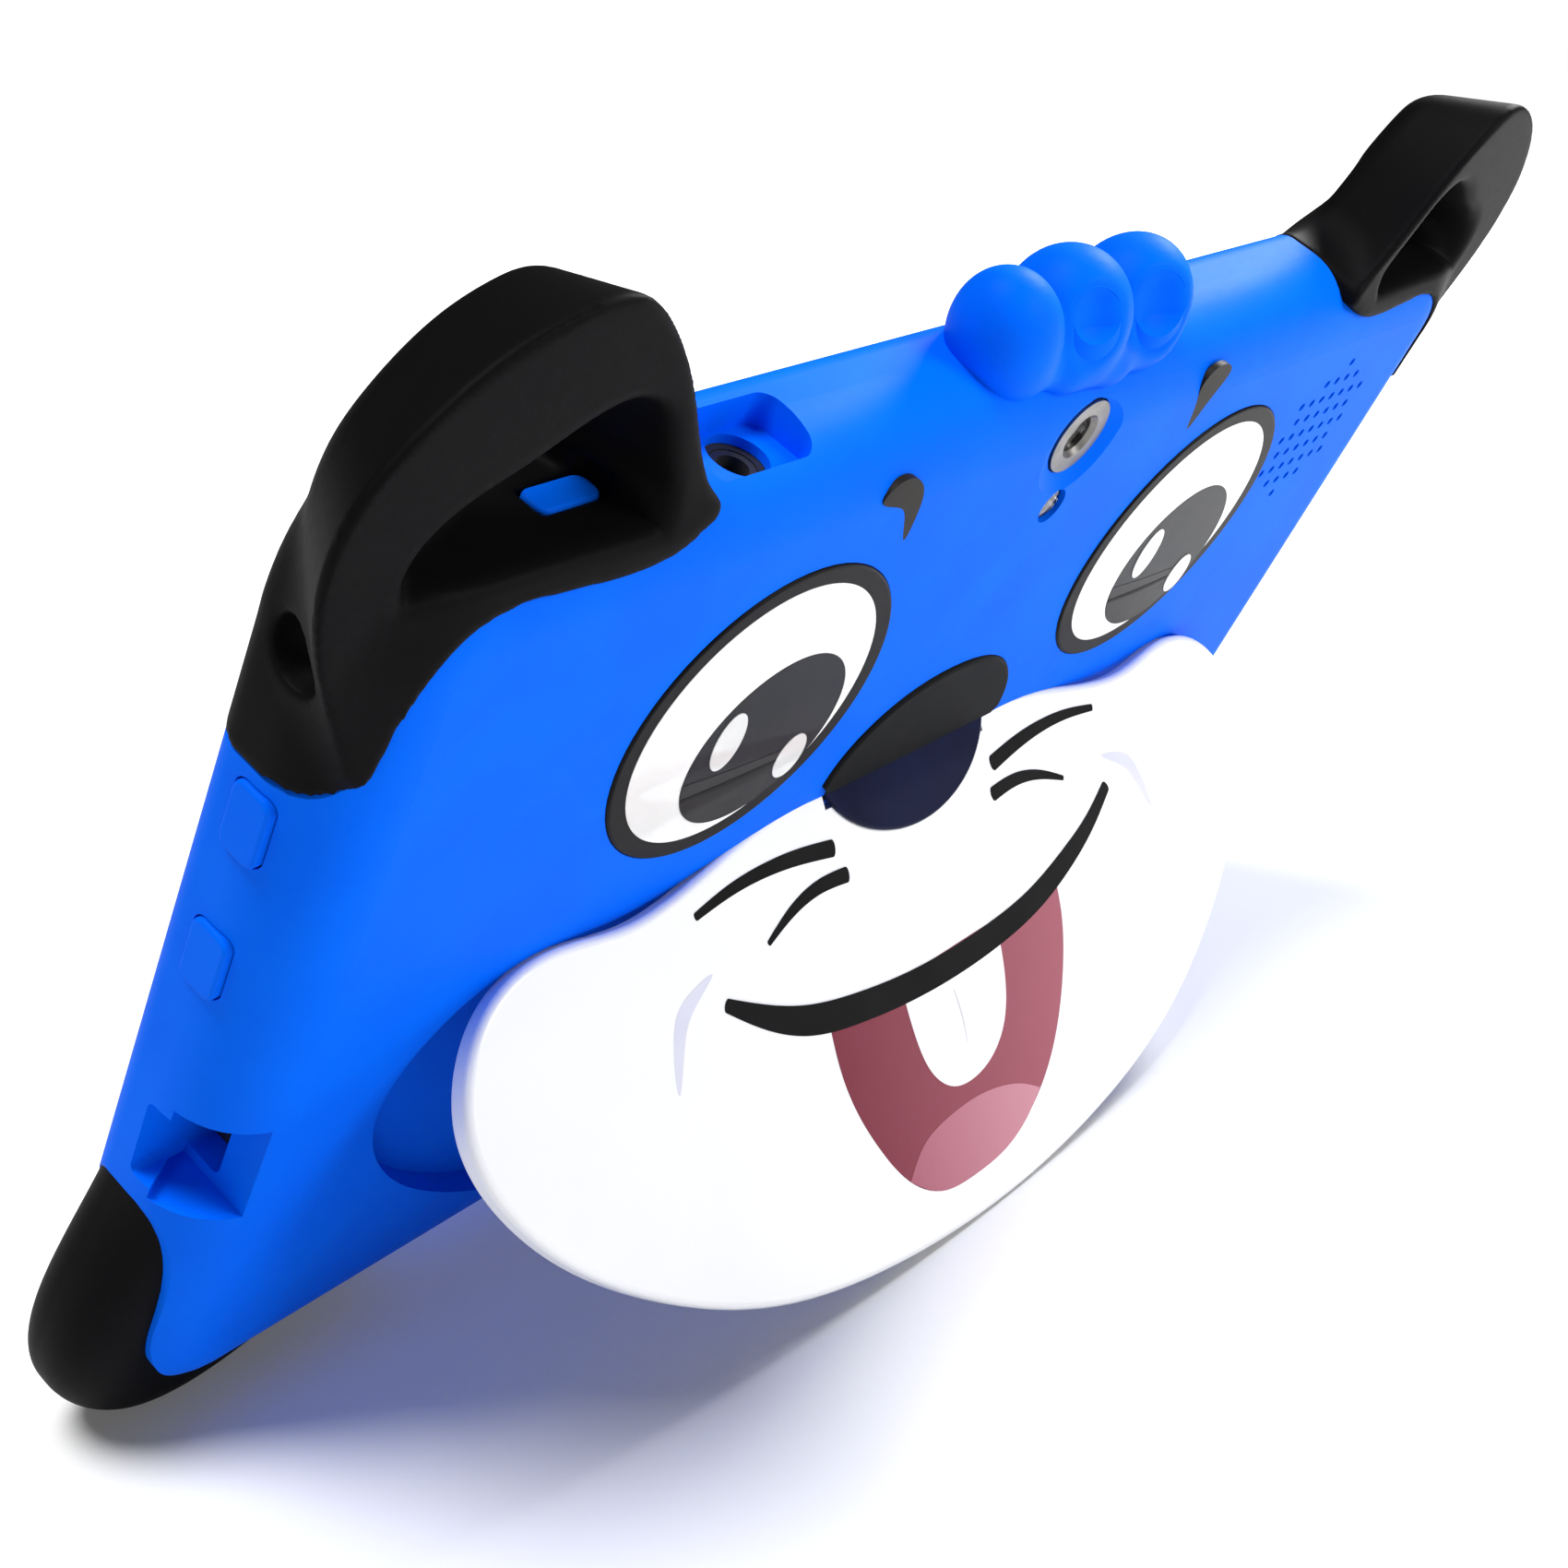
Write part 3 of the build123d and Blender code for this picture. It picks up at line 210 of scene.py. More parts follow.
slot_look("silicone_blue", silicone, BLUE, BLUE_DEEP, 0.5, gloss=0.02)
slot_look("silicone_black", silicone, BLACK, BLACK_WORN, 0.55, gloss=0.035)
slot_look("badge_print", plastic, (0.004, 0.0035, 0.004), (0.007, 0.006, 0.006), 0.45, gloss=0.06)
slot_look("brow_black", plastic, (0.012, 0.01, 0.008), (0.02, 0.017, 0.013), 0.5, gloss=0.08)
slot_look("plate_white", plastic, (0.9, 0.9, 0.9), (0.89, 0.89, 0.893), 0.34, coat=0.15, depth=0.002)
slot_look("nose_black", plastic, (0.004, 0.0045, 0.005), (0.006, 0.006, 0.006), 0.5, gloss=0.03)
slot_look("hinge_plastic", plastic, (0.02, 0.02, 0.022), (0.03, 0.03, 0.03), 0.5)
slot_look("steel", metal, (0.55, 0.56, 0.58), (0.66, 0.66, 0.67), 0.3)
slot_look("bezel_metal", metal, (0.16, 0.155, 0.14), (0.22, 0.21, 0.2), 0.35)
slot_look("clear_glass", clear, (0.92, 0.95, 0.97))
slot_look("housing_plastic", plastic, (0.02, 0.02, 0.022), (0.03, 0.03, 0.032), 0.5)
slot_look("screen_glass", plastic, (0.006, 0.006, 0.008), (0.01, 0.01, 0.012), 0.08, coat=1.0, depth=0.001)
slot_look("display", plastic, (0.05, 0.055, 0.06), (0.07, 0.07, 0.08), 0.3)
slot_look("adhesive", plastic, (0.03, 0.03, 0.03), (0.05, 0.05, 0.05), 0.8)
slot_look("board_green", plastic, (0.01, 0.12, 0.04), (0.015, 0.16, 0.05), 0.35, coat=0.3)
slot_look("chip_black", plastic, (0.02, 0.02, 0.02), (0.035, 0.035, 0.035), 0.45)
slot_look("gold_flex", plastic, (0.45, 0.2, 0.03), (0.55, 0.26, 0.05), 0.35, coat=0.4)
slot_look("battery_foil", metal, (0.62, 0.63, 0.64), (0.7, 0.7, 0.7), 0.35)
slot_look("speaker_cone", plastic, (0.03, 0.03, 0.035), (0.05, 0.05, 0.05), 0.55)
slot_look("wire_red", plastic, (0.4, 0.01, 0.01), (0.5, 0.02, 0.02), 0.4)
slot_look("copper", metal, (0.72, 0.36, 0.18), (0.8, 0.44, 0.24), 0.3)

for entry in frame["record"]["subparts"]:
    node = frame["nodes"][entry["node"]]
    node.data.materials.clear()
    node.data.materials.append(slot_materials[entry["material_slot"]])

# the facet of the nose that swings with the plate is glossier than the fixed half, and its dark navy is
# painted shade with a painted reflection of the blue case
nose_painted_reflection = plastic("nose_painted_reflection", (0.003, 0.005, 0.024), (0.005, 0.008, 0.036), 0.25, coat=0.05, gloss=0.06)
frame["nodes"]["nose_lower"].data.materials[0] = nose_painted_reflection

# ------------------------------------------------------------------ curves and meshes
OVAL_POINTS = 96
TIP_STEPS = 8             # steps around the blunt end of a painted line
TIP_LENGTH = 0.5          # how far that end reaches, as a share of the line's half width


def through(points, count, closed=False):
    """`count` points along the natural cubic spline through `points`, spaced by chord length."""
    knots = np.array(points + points[:1] if closed else points, float)
    spans = np.maximum(np.linalg.norm(np.diff(knots[:, :2], axis=0), axis=1), 1e-6)
    size = len(knots)
    system = np.eye(size)
    target = np.zeros_like(knots)
    for i in range(1, size - 1):
        system[i, i - 1 : i + 2] = spans[i - 1], 2 * (spans[i - 1] + spans[i]), spans[i]
        target[i] = 6 * ((knots[i + 1] - knots[i]) / spans[i] - (knots[i] - knots[i - 1]) / spans[i - 1])
    if closed:
        system[0, -1] = -1
        system[-1, [0, 1, -2, -1]] = 2 * spans[0], spans[0], spans[-1], 2 * spans[-1]
        target[-1] = 6 * ((knots[1] - knots[0]) / spans[0] - (knots[-1] - knots[-2]) / spans[-1])
    bend = np.linalg.solve(system, target)
    starts = np.concatenate([[0], np.cumsum(spans)])
    made = []
    for s in np.linspace(0, starts[-1], count, endpoint=not closed):
        i = min(int(np.searchsorted(starts, s, side="right")) - 1, size - 2)
        h = spans[i]
        a, b = (starts[i + 1] - s) / h, (s - starts[i]) / h
        curve = a * knots[i] + b * knots[i + 1]
        curve += ((a**3 - a) * bend[i] + (b**3 - b) * bend[i + 1]) * h * h / 6
        made.append(curve)
    return np.array(made)


def oval(x, y, half_width, half_height, turn=0.0):
    """Outline of an ellipse whose width is turned by `turn` degrees."""
    c, s = math.cos(math.radians(turn)), math.sin(math.radians(turn))
    outline = []
    for angle in np.linspace(0, 2 * math.pi, OVAL_POINTS, endpoint=False):
        u, v = half_width * math.cos(angle), half_height * math.sin(angle)
        outline.append((x + c * u - s * v, y + s * u + c * v))
    return np.array(outline)


def stroke(points, count=60):
    """Outline of a painted line; each point is x, y and the line's width there."""
    middle = through(points, count)
    along = np.gradient(middle[:, :2], axis=0)
    along /= np.linalg.norm(along, axis=1)[:, None]
    beside = np.stack([-along[:, 1], along[:, 0]], axis=1)
    half = middle[:, 2:3] / 2
    left, right = middle[:, :2] + beside * half, middle[:, :2] - beside * half
    angles = np.linspace(-math.pi / 2, math.pi / 2, TIP_STEPS)[1:-1]

    def blunt_end(end, way):
        """Points around one end; `way` is 1 past the last point and -1 before the first."""
        arc = [math.cos(a) * along[end] * TIP_LENGTH + math.sin(a) * beside[end] for a in angles]
        return [middle[end, :2] + way * half[end] * offset for offset in arc]

    return np.concatenate([right, blunt_end(-1, 1), left[::-1], blunt_end(0, -1)])


def put_mesh(name, points, faces, material, body, smooth=True):
    """A mesh piece in the shared frame, finished and riding on its body."""
    mesh = bpy.data.meshes.new(name)
    mesh.from_pydata([tuple(p) for p in points], [], faces)
    mesh.polygons.foreach_set("use_smooth", [smooth] * len(mesh.polygons))
    mesh.materials.append(material)
    mesh.validate()
    piece = bpy.data.objects.new(name, mesh)
    bpy.context.scene.collection.objects.link(piece)
    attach(piece, body)
    return piece


def patch(name, outline, place, low, high, material, body):
    """A thin printed or inlaid patch: its outline drawn flat, from `low` to `high` above the face."""
    count = len(outline)
    points = [place(x, y, low) for x, y in outline] + [place(x, y, high) for x, y in outline]
    faces = [tuple(range(count))[::-1], tuple(range(count, 2 * count))]
    for i in range(count):
        j = (i + 1) % count
        faces.append((i, j, count + j, count + i))
    return put_mesh(name, points, faces, material, body, smooth=False)


# ------------------------------------------------------------------ signed-distance modelling
FAR_AWAY = 50.0           # the distance that stands for all space outside the grid


class Clay:
    """A box of space in the case's system on whose grid a soft part is shaped."""

    def __init__(self, low, high, step):
        self.low = np.array(low, float)
        self.step = step
        axes = [np.arange(a, b + step, step) for a, b in zip(low, high)]
        self.x, self.y, self.z = np.meshgrid(*axes, indexing="ij")

    def loop(self, outline):
        """Distance to an outline drawn across the case, negative inside it."""
        px, py = self.x[:, :, 0], self.y[:, :, 0]
        nearest = np.full(px.shape, np.inf)
        inside = np.zeros(px.shape, bool)
        for (ax, ay), (bx, by) in zip(outline, np.roll(outline, -1, axis=0)):
            ex, ey = bx - ax, by - ay
            length = ex * ex + ey * ey
            if length < 1e-12:
                continue
            t = np.clip(((px - ax) * ex + (py - ay) * ey) / length, 0, 1)
            nearest = np.minimum(nearest, (px - ax - ex * t) ** 2 + (py - ay - ey * t) ** 2)
            if ay != by:
                crossed = ((ay <= py) != (by <= py)) & (px < ax + (py - ay) * ex / ey)
                inside ^= crossed
        return (np.where(inside, -1, 1) * np.sqrt(nearest))[:, :, None]

    def rod(self, start, end):
        """Distance to a straight rod whose ends are x, y, z, radius."""
        a, b = np.array(start, float), np.array(end, float)
        d = b[:3] - a[:3]
        t = (self.x - a[0]) * d[0] + (self.y - a[1]) * d[1] + (self.z - a[2]) * d[2]
        t = np.clip(t / d.dot(d), 0, 1)
        gap = (self.x - a[0] - d[0] * t) ** 2 + (self.y - a[1] - d[1] * t) ** 2
        gap += (self.z - a[2] - d[2] * t) ** 2
        return np.sqrt(gap) - (a[3] + (b[3] - a[3]) * t)

    def ball(self, centre, radii, turn):
        """Roughly the distance to an ellipsoid turned by `turn` degrees in the case's plane."""
        c, s = math.cos(math.radians(turn)), math.sin(math.radians(turn))
        dx, dy, w = self.x - centre[0], self.y - centre[1], self.z - centre[2]
        u, v = c * dx + s * dy, -s * dx + c * dy
        scaled = np.sqrt((u / radii[0]) ** 2 + (v / radii[1]) ** 2 + (w / radii[2]) ** 2)
        steep = np.sqrt((u / radii[0] ** 2) ** 2 + (v / radii[1] ** 2) ** 2 + (w / radii[2] ** 2) ** 2)
        return scaled * (scaled - 1) / np.maximum(steep, 1e-6)

    def mesh(self, name, distance, material, body, mirror=False):
        """The surface where the distance is zero, as a smooth piece."""
        grid = openvdb.FloatGrid(FAR_AWAY)
        grid.copyFromArray(np.ascontiguousarray(distance, np.float32))
        points, quads = grid.convertToQuads(0.0)
        points = self.low + points * self.step
        if mirror:
            points[:, 0] *= -1
        # a negative volume means that the faces look inwards, so they are turned round
        corner = points[quads]
        crossed = np.cross(corner[:, 1] - corner[:, 0], corner[:, 2] - corner[:, 0])
        if np.einsum("ij,ij->", corner[:, 0], crossed) < 0:
            quads = quads[:, ::-1]
        placed = [on_case(*p) for p in points]
        return put_mesh(name, placed, quads.tolist(), material, body)


def meet(a, b, blend):
    """Where both are; their edge is rounded over about `blend`."""
    h = np.clip(0.5 + 0.5 * (a - b) / blend, 0, 1)
    return b + (a - b) * h + blend * h * (1 - h)


def join(a, b, blend):
    """Where either is, with a fillet of about `blend`."""
    return -meet(-a, -b, blend)


def cut(a, b, blend):
    """a without b, with the cut's edge rounded over about `blend`."""
    return meet(a, -b, blend)


def rounded(u, v, radius):
    """Distance to where u and v are both negative, its corner rounded to `radius`."""
    u, v = u + radius, v + radius
    return np.hypot(np.maximum(u, 0), np.maximum(v, 0)) + np.minimum(np.maximum(u, v), 0) - radius


# ------------------------------------------------------------------ the case that soft parts grow from
CASE_HALF = (106.5, 60.5)
CASE_CORNER = 12.0
CASE_DEPTH = 16.0
BACK_ROUNDING = 9.5
FRONT_ROUNDING = 3.0
ROOM_HALF = (96.1, 55.6)
ROOM_BACK = -4.9
ROOM_FRONT = -14.1


def case_block(clay, grow):
    """The case's plain rounded block, grown by `grow`."""
    across, up = np.abs(clay.x[:, :, :1]), np.abs(clay.y[:, :, :1])
    rim = rounded(across - CASE_HALF[0], up - CASE_HALF[1], CASE_CORNER)
    back = rounded(rim, clay.z, BACK_ROUNDING)
    front = rounded(rim, -CASE_DEPTH - clay.z, FRONT_ROUNDING)
    return np.maximum(back, front) - grow


def tablet_room(clay):
    """The space that the tablet fills inside the silicone."""
    across, up = np.abs(clay.x) - ROOM_HALF[0], np.abs(clay.y) - ROOM_HALF[1]
    depth = np.maximum(clay.z - ROOM_BACK, ROOM_FRONT - clay.z)
    return np.maximum(np.maximum(across, up), depth)


# ------------------------------------------------------------------ ears, drawn as the left one
EAR_BOX = ((-118, 29, -18), (-63, 88, 1.5))
EAR_STEP = 0.5
# the outline on the ear's back face, from its outer root over the top to its inner root
EAR_RIM = [
    (-103.5, 40.5), (-107.4, 46.0), (-110.9, 52.5), (-113.3, 61.0), (-112.4, 68.8),
    (-108.6, 74.6), (-101.2, 80.8), (-94.0, 83.8), (-88.2, 84.4), (-82.8, 81.0),
    (-76.4, 72.8), (-71.8, 65.2), (-67.0, 58.5),
]
EAR_UNDERSIDE = [(-73, 56.8), (-97, 56), (-101, 49), (-102, 40)]  # and back inside the case
# where black silicone meets blue, from the inner root down to the case's side
EAR_SEAM = [
    (-66.5, 57.6), (-70.0, 55.9), (-89.0, 55.6), (-97.0, 54.0),
    (-101.0, 48.0), (-102.2, 41.0), (-104.6, 35.5), (-108.5, 33.5),
]
EAR_OUTSIDE = [(-120, 33.5), (-120, 90), (-66.5, 90)]             # and back clear of the ear
EAR_OPENING = [
    (-103.6, 57.0), (-104.0, 60.6), (-102.6, 63.8), (-98.8, 66.8), (-94.4, 68.9), (-88.2, 72.3),
    (-83.4, 73.4), (-79.6, 71.8), (-76.4, 66.6), (-73.8, 61.0), (-73.8, 57.0),
]
EAR_OUTLINE_Z = -3.0      # the depth at which the outlines hold
EAR_MIDDLE = (-84.0, 50.0)  # they narrow about here towards the screen side
EAR_TAPER = (0.0244, 0.0122)  # by this share in x and y for each millimetre
EAR_FACE = (-67, 58, -1.2)  # a point of the ear's back face
EAR_FALL_OUT = 2.2        # degrees by which that face falls away outwards
EAR_FALL_UP = 0.5         # and upwards
EAR_FLOOR = 57.4          # height of the opening's floor up the case
EAR_FILLET = 4.6          # between the arch and the case's corner
EAR_BACK_EDGE = 1.1
EAR_FRONT_EDGE = 4.0
OPENING_EDGE = 1.4
FLOOR_EDGE = 1.2
CORNER_EDGE = 0.5
SEAM_EDGE = 0.6
ROOM_EDGE = 0.1
HOLE_EDGE = 0.4
SEAM_COVER = 0.12         # how far black silicone stands over the blue at their seam
HOLE_PLACE = (48.6, -8.8)  # y and z of the blind hole in the ear's outer wall
HOLE_RADIUS = 3.5
HOLE_ENDS = (-125, -106.6)
POWER_PLACE = (-79.5, -9.0)  # x and z of the power pad's slot, in the left ear only
POWER_HALF = (4.25, 1.95)
POWER_ENDS = (54, 60.5)


def ear_loop(clay, outline):
    """Distance to the side of something that narrows towards the screen side like the ear."""
    layers = []
    for z in clay.z[0, 0, :]:
        share = 1 - np.array(EAR_TAPER) * (EAR_OUTLINE_Z - z)
        layers.append(clay.loop(np.array(EAR_MIDDLE) + (outline - EAR_MIDDLE) * share)[:, :, 0])
    return np.stack(layers, axis=2)


def power_slot(clay):
    """Distance to the slot that the power pad moves in."""
    across = np.abs(clay.x - POWER_PLACE[0]) - POWER_HALF[0]
    deep = np.abs(clay.z - POWER_PLACE[1]) - POWER_HALF[1]
    up = np.maximum(POWER_ENDS[0] - clay.y, clay.y - POWER_ENDS[1])
    return np.maximum(np.maximum(across, deep), up)


def sculpt_ear(name, mirror):
    clay = Clay(*EAR_BOX, EAR_STEP)
    rim = np.concatenate([through(EAR_RIM, 110), EAR_UNDERSIDE])
    seam = np.concatenate([through(EAR_SEAM, 60), EAR_OUTSIDE])
    opening = ear_loop(clay, through(EAR_OPENING, 60))
    zone = clay.loop(seam) - SEAM_COVER

    fall_out, fall_up = math.tan(math.radians(EAR_FALL_OUT)), math.tan(math.radians(EAR_FALL_UP))
    face = clay.z - EAR_FACE[2] - (clay.x - EAR_FACE[0]) * fall_out + (clay.y - EAR_FACE[1]) * fall_up
    arch = meet(ear_loop(clay, rim), face, EAR_BACK_EDGE)
    arch = meet(arch, -CASE_DEPTH - clay.z, EAR_FRONT_EDGE)
    arch = cut(arch, opening, OPENING_EDGE)

    corner = meet(case_block(clay, SEAM_COVER), zone, CORNER_EDGE)
    corner = cut(corner, np.maximum(opening, EAR_FLOOR - clay.y), FLOOR_EDGE)

    ear = meet(join(arch, corner, EAR_FILLET), zone, SEAM_EDGE)
    hole_start, hole_end = [(x, *HOLE_PLACE, HOLE_RADIUS) for x in HOLE_ENDS]
    ear = cut(ear, clay.rod(hole_start, hole_end), HOLE_EDGE)
    if not mirror:
        ear = cut(ear, power_slot(clay), HOLE_EDGE)
    ear = cut(ear, tablet_room(clay), ROOM_EDGE)
    piece = clay.mesh(name, ear, slot_materials["silicone_black"], "tablet", mirror)
    return piece


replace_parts(sculpt_ear("ear_left_soft", False), "ear_left")
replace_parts(sculpt_ear("ear_right_soft", True), "ear_right")

# ------------------------------------------------------------------ hair tuft
TUFT_BOX = ((-24, 52, -18), (24, 76, 3))
TUFT_STEP = 0.4
TUFT_COVER = 0.3          # the sculpted tuft lies this far over the case's own
TUFT_Z = -8.0
TUFT_CLEARANCE = 0.6      # the tuft ends this far above the tablet's room
TUFT_END_EDGE = 0.3
PETAL_FILLET = 0.9
LIP_FILLET = 2.2
DENT_EDGE = 1.4
# petals: x, y, turn of the long axis, half length, radius
TUFT_PETALS = [(-13.5, 63.0, 30, 8.5, 6.2), (-1.5, 63.5, 6, 8.0, 7.2), (12.5, 62.8, -22, 8.2, 7.0)]
# dents pressed into the petals: x, y, z, radius; and how these change along each dent
TUFT_DENTS = [(-6.0, 68.8, -0.6, 4.6), (8.8, 68.2, 0.0, 5.6)]
DENT_RUN = (0.6, -3.0, 0.6, -0.8)
# the rolled lip under the petals: x, y, z, radius
TUFT_LIP = [
    (-14.5, 61.2, -6.4, 2.0), (-5.0, 60.0, -4.6, 2.4), (4.0, 59.6, -4.0, 2.6),
    (13.0, 60.8, -4.6, 2.4), (18.2, 63.2, -6.4, 2.0),
]


def sculpt_tuft():
    clay = Clay(*TUFT_BOX, TUFT_STEP)
    tuft = None
    for x, y, turn, half_length, radius in TUFT_PETALS:
        petal = clay.ball((x, y, TUFT_Z), (radius, half_length, radius), turn)
        tuft = petal if tuft is None else join(tuft, petal, PETAL_FILLET)
    for start, end in zip(TUFT_LIP, TUFT_LIP[1:]):
        tuft = join(tuft, clay.rod(start, end), LIP_FILLET)
    for dent in TUFT_DENTS:
        tuft = cut(tuft, clay.rod(dent, np.add(dent, DENT_RUN)), DENT_EDGE)
    # only what stands clear of the tablet's room is kept
    tuft = meet(tuft - TUFT_COVER, ROOM_HALF[1] + TUFT_CLEARANCE - clay.y, TUFT_END_EDGE)
    piece = clay.mesh("hair_tuft", tuft, slot_materials["silicone_blue"], "tablet")


sculpt_tuft()

# ------------------------------------------------------------------ prints on the eyes
white_print = plastic("eye_white", (0.84, 0.84, 0.82), (0.76, 0.76, 0.74), 0.3, coat=0.6)
iris_print = plastic("iris_charcoal", (0.004, 0.005, 0.008), (0.007, 0.007, 0.01), 0.35, coat=0.1, gloss=0.04)
shade_print = plastic("iris_shade", (0.012, 0.01, 0.011), (0.017, 0.015, 0.015), 0.4, coat=0.12, gloss=0.04)
line_print = plastic("print_line", (0.004, 0.004, 0.004), (0.007, 0.007, 0.007), 0.5, gloss=0.06)
glint_print = plastic("iris_glint", (0.6, 0.6, 0.58), (0.7, 0.7, 0.68), 0.3, coat=1.0)

# ovals: height of their middle up the case, half width, half height
WHITE_OVAL = (26.0, 19.4, 17.6)
IRIS_OVAL = (20.9, 12.9, 11.7)
GLINT_OVAL = (23.4, 4.3, 2.5)
SMALL_GLINT_OVAL = (15.4, 3.4, 2.6)
WHITE_TURN = 18.0         # the whites lean outwards by this many degrees
GLINT_TURN = 98.0
SMALL_GLINT_TURN = 100.0
GLINT_X = -7.5            # the large glint, the shade and the line are placed from the iris's middle
SHADE_TOP = [(-12.8, 19.0), (-4.0, 17.9), (5.0, 17.2)]
SHADE_ENDS = (-12.7, 5.5)
IRIS_LINE = [(-11.6, 16.3, 0.5), (-3.0, 15.7, 0.7), (5.2, 15.6, 0.4)]
# from where to where each print reaches above the case's back
WHITE_LAYER = (0.2, 0.36)
IRIS_LAYER = (0.3, 0.42)
SHADE_LAYER = (0.38, 0.46)
LINE_LAYER = (0.4, 0.5)
GLINT_LAYER = (0.36, 0.52)


def iris_shade(iris, iris_x):
    """Outline of the darker lower part of an iris, between a soft line and the iris's own edge."""
    top = through([(iris_x + x, y) for x, y in SHADE_TOP], 24)
    low_x, high_x = iris_x + SHADE_ENDS[0], iris_x + SHADE_ENDS[1]
    edge = [p for p in iris if p[1] < SHADE_TOP[0][1] and low_x < p[0] < high_x]
    edge = sorted(edge, key=lambda p: -math.atan2(p[1] - IRIS_OVAL[0], p[0] - iris_x) % (2 * math.pi))
    return np.concatenate([top, edge])


def eye_prints(side, white_x, iris_x, dot_x):
    """White, iris and its marks for one eye; side is -1 for left and 1 for right."""
    name = "eye_left" if side < 0 else "eye_right"

    def add(label, outline, layer, material):
        piece = patch(f"{name}_{label}", outline, on_case, *layer, material, "tablet")

    iris = oval(iris_x, *IRIS_OVAL)
    line = stroke([(iris_x + x, y, width) for x, y, width in IRIS_LINE])
    add("white", oval(white_x, *WHITE_OVAL, side * WHITE_TURN), WHITE_LAYER, white_print)
    add("iris", iris, IRIS_LAYER, iris_print)
    add("shade", iris_shade(iris, iris_x), SHADE_LAYER, shade_print)
    add("line", line, LINE_LAYER, line_print)
    add("glint", oval(iris_x + GLINT_X, *GLINT_OVAL, GLINT_TURN), GLINT_LAYER, glint_print)
    add("glint_small", oval(dot_x, *SMALL_GLINT_OVAL, SMALL_GLINT_TURN), GLINT_LAYER, glint_print)


eye_prints(-1, white_x=-44.8, iris_x=-40.4, dot_x=-32.8)
eye_prints(1, white_x=44.3, iris_x=48.4, dot_x=56.4)

# ------------------------------------------------------------------ prints on the muzzle
MOTTLE = 0.08             # how much the noise shifts the painted shade-to-light run of colour across the mouth


def print_with_painted_light_across(name, left, right, low, high):
    """A print whose colour runs along the case's x from `low` to `high` millimetres, a little mottled; the
    run is painted shade at `low` turning into painted light at `high`.
    """
    material, shader = new_material(name)
    place = add_node(material, "ShaderNodeNewGeometry")
    split = add_node(material, "ShaderNodeSeparateXYZ")
    span = add_node(material, "ShaderNodeMapRange", From_Min=low * MM, From_Max=high * MM)
    ramp = add_node(material, "ShaderNodeValToRGB")
    ramp.color_ramp.elements[0].color = (*left, 1)
    ramp.color_ramp.elements[1].color = (*right, 1)
    noise = grain(material, 500)
    mix = add_node(material, "ShaderNodeMath", operation="MULTIPLY_ADD")
    mix.inputs[1].default_value = MOTTLE
    link(material, place.outputs["Position"], split.inputs["Vector"])
    link(material, split.outputs["X"], span.inputs["Value"])
    link(material, noise.outputs["Fac"], mix.inputs[0])
    link(material, span.outputs["Result"], mix.inputs[2])
    link(material, mix.outputs["Value"], ramp.inputs["Fac"])
    link(material, ramp.outputs["Color"], shader.inputs["Base Color"])
    shader.inputs["Roughness"].default_value = 0.45
    shader.inputs["Specular IOR Level"].default_value = 0.1
    return material


# the mouth and tongue keep their printed rose and pink, made darker to the left with painted shade and
# lighter to the right with painted light
mouth_print_and_painted_light = print_with_painted_light_across("mouth_rose", (0.19, 0.03, 0.048), (0.36, 0.11, 0.14), -26, 26)
tongue_print_and_painted_light = print_with_painted_light_across("tongue_pink", (0.36, 0.11, 0.15), (0.55, 0.25, 0.3), -20, 12)
tooth_print = plastic("tooth_white", (0.88, 0.88, 0.88), (0.84, 0.84, 0.85), 0.3, coat=0.3)
blush_print = plastic("blush_lavender", (0.62, 0.62, 0.74), (0.68, 0.68, 0.78), 0.35)
faint_print = plastic("faint_grey", (0.55, 0.55, 0.56), (0.62, 0.62, 0.62), 0.4)

# from where to where each print reaches above the plate's face
MOUTH_LAYER = (-0.1, 0.05)
MARK_LAYER = (-0.05, 0.08)
TOOTH_LINE_LAYER = (0.0, 0.1)
SMILE_LAYER = (-0.05, 0.12)
BLUSH_LAYER = (-0.05, 0.03)


def plate_print(label, outline, layer, material):
    low, high = layer
    place = (PLATE_HALF + low, PLATE_HALF + high)
    piece = patch(f"muzzle_{label}", outline, on_plate, *place, material, "stand")


MOUTH = [
    (-26.0, -26.0), (-26.1, -32.0), (-24.9, -38.4), (-22.6, -44.0), (-18.8, -50.0),
    (-13.8, -53.7), (-6.0, -55.0), (1.8, -54.6), (8.4, -52.3), (14.0, -48.8),
    (19.6, -42.8), (23.4, -36.2), (25.4, -30.1), (25.8, -25.5),
]
TOOTH = [
    (-11.4, -27.4), (-11.0, -34.0), (-9.3, -39.6), (-6.0, -42.6), (-1.9, -43.3), (2.9, -42.3),
    (7.3, -39.0), (9.6, -34.0), (10.5, -27.4),
]
TONGUE_TOP = [
    (11.6, -50.3), (8.4, -48.4), (4.0, -46.8), (-1.6, -45.8),
    (-8.2, -45.8), (-14.9, -47.3), (-18.6, -50.2),
]
TONGUE_BOTTOM = [(-18.6, -50.2), (-13.8, -53.7), (-6.0, -55.0), (1.8, -54.6), (8.4, -52.3), (11.6, -50.3)]
# painted lines: x, y, width
TOOTH_LINE = [(-1.4, -31.0, 0.15), (-1.0, -35.0, 0.3), (-1.2, -38.5, 0.1)]
SMILE = [
    (-42.1, -17.1, 1.7), (-36.0, -21.0, 3.0), (-30.0, -23.8, 3.7), (-20.0, -26.1, 3.8),
    (-10.0, -27.3, 3.7), (0.0, -27.7, 3.7), (10.0, -27.4, 3.6), (20.0, -26.2, 3.4),
    (30.0, -23.4, 3.0), (37.0, -20.5, 2.3), (42.5, -17.2, 1.8),
]
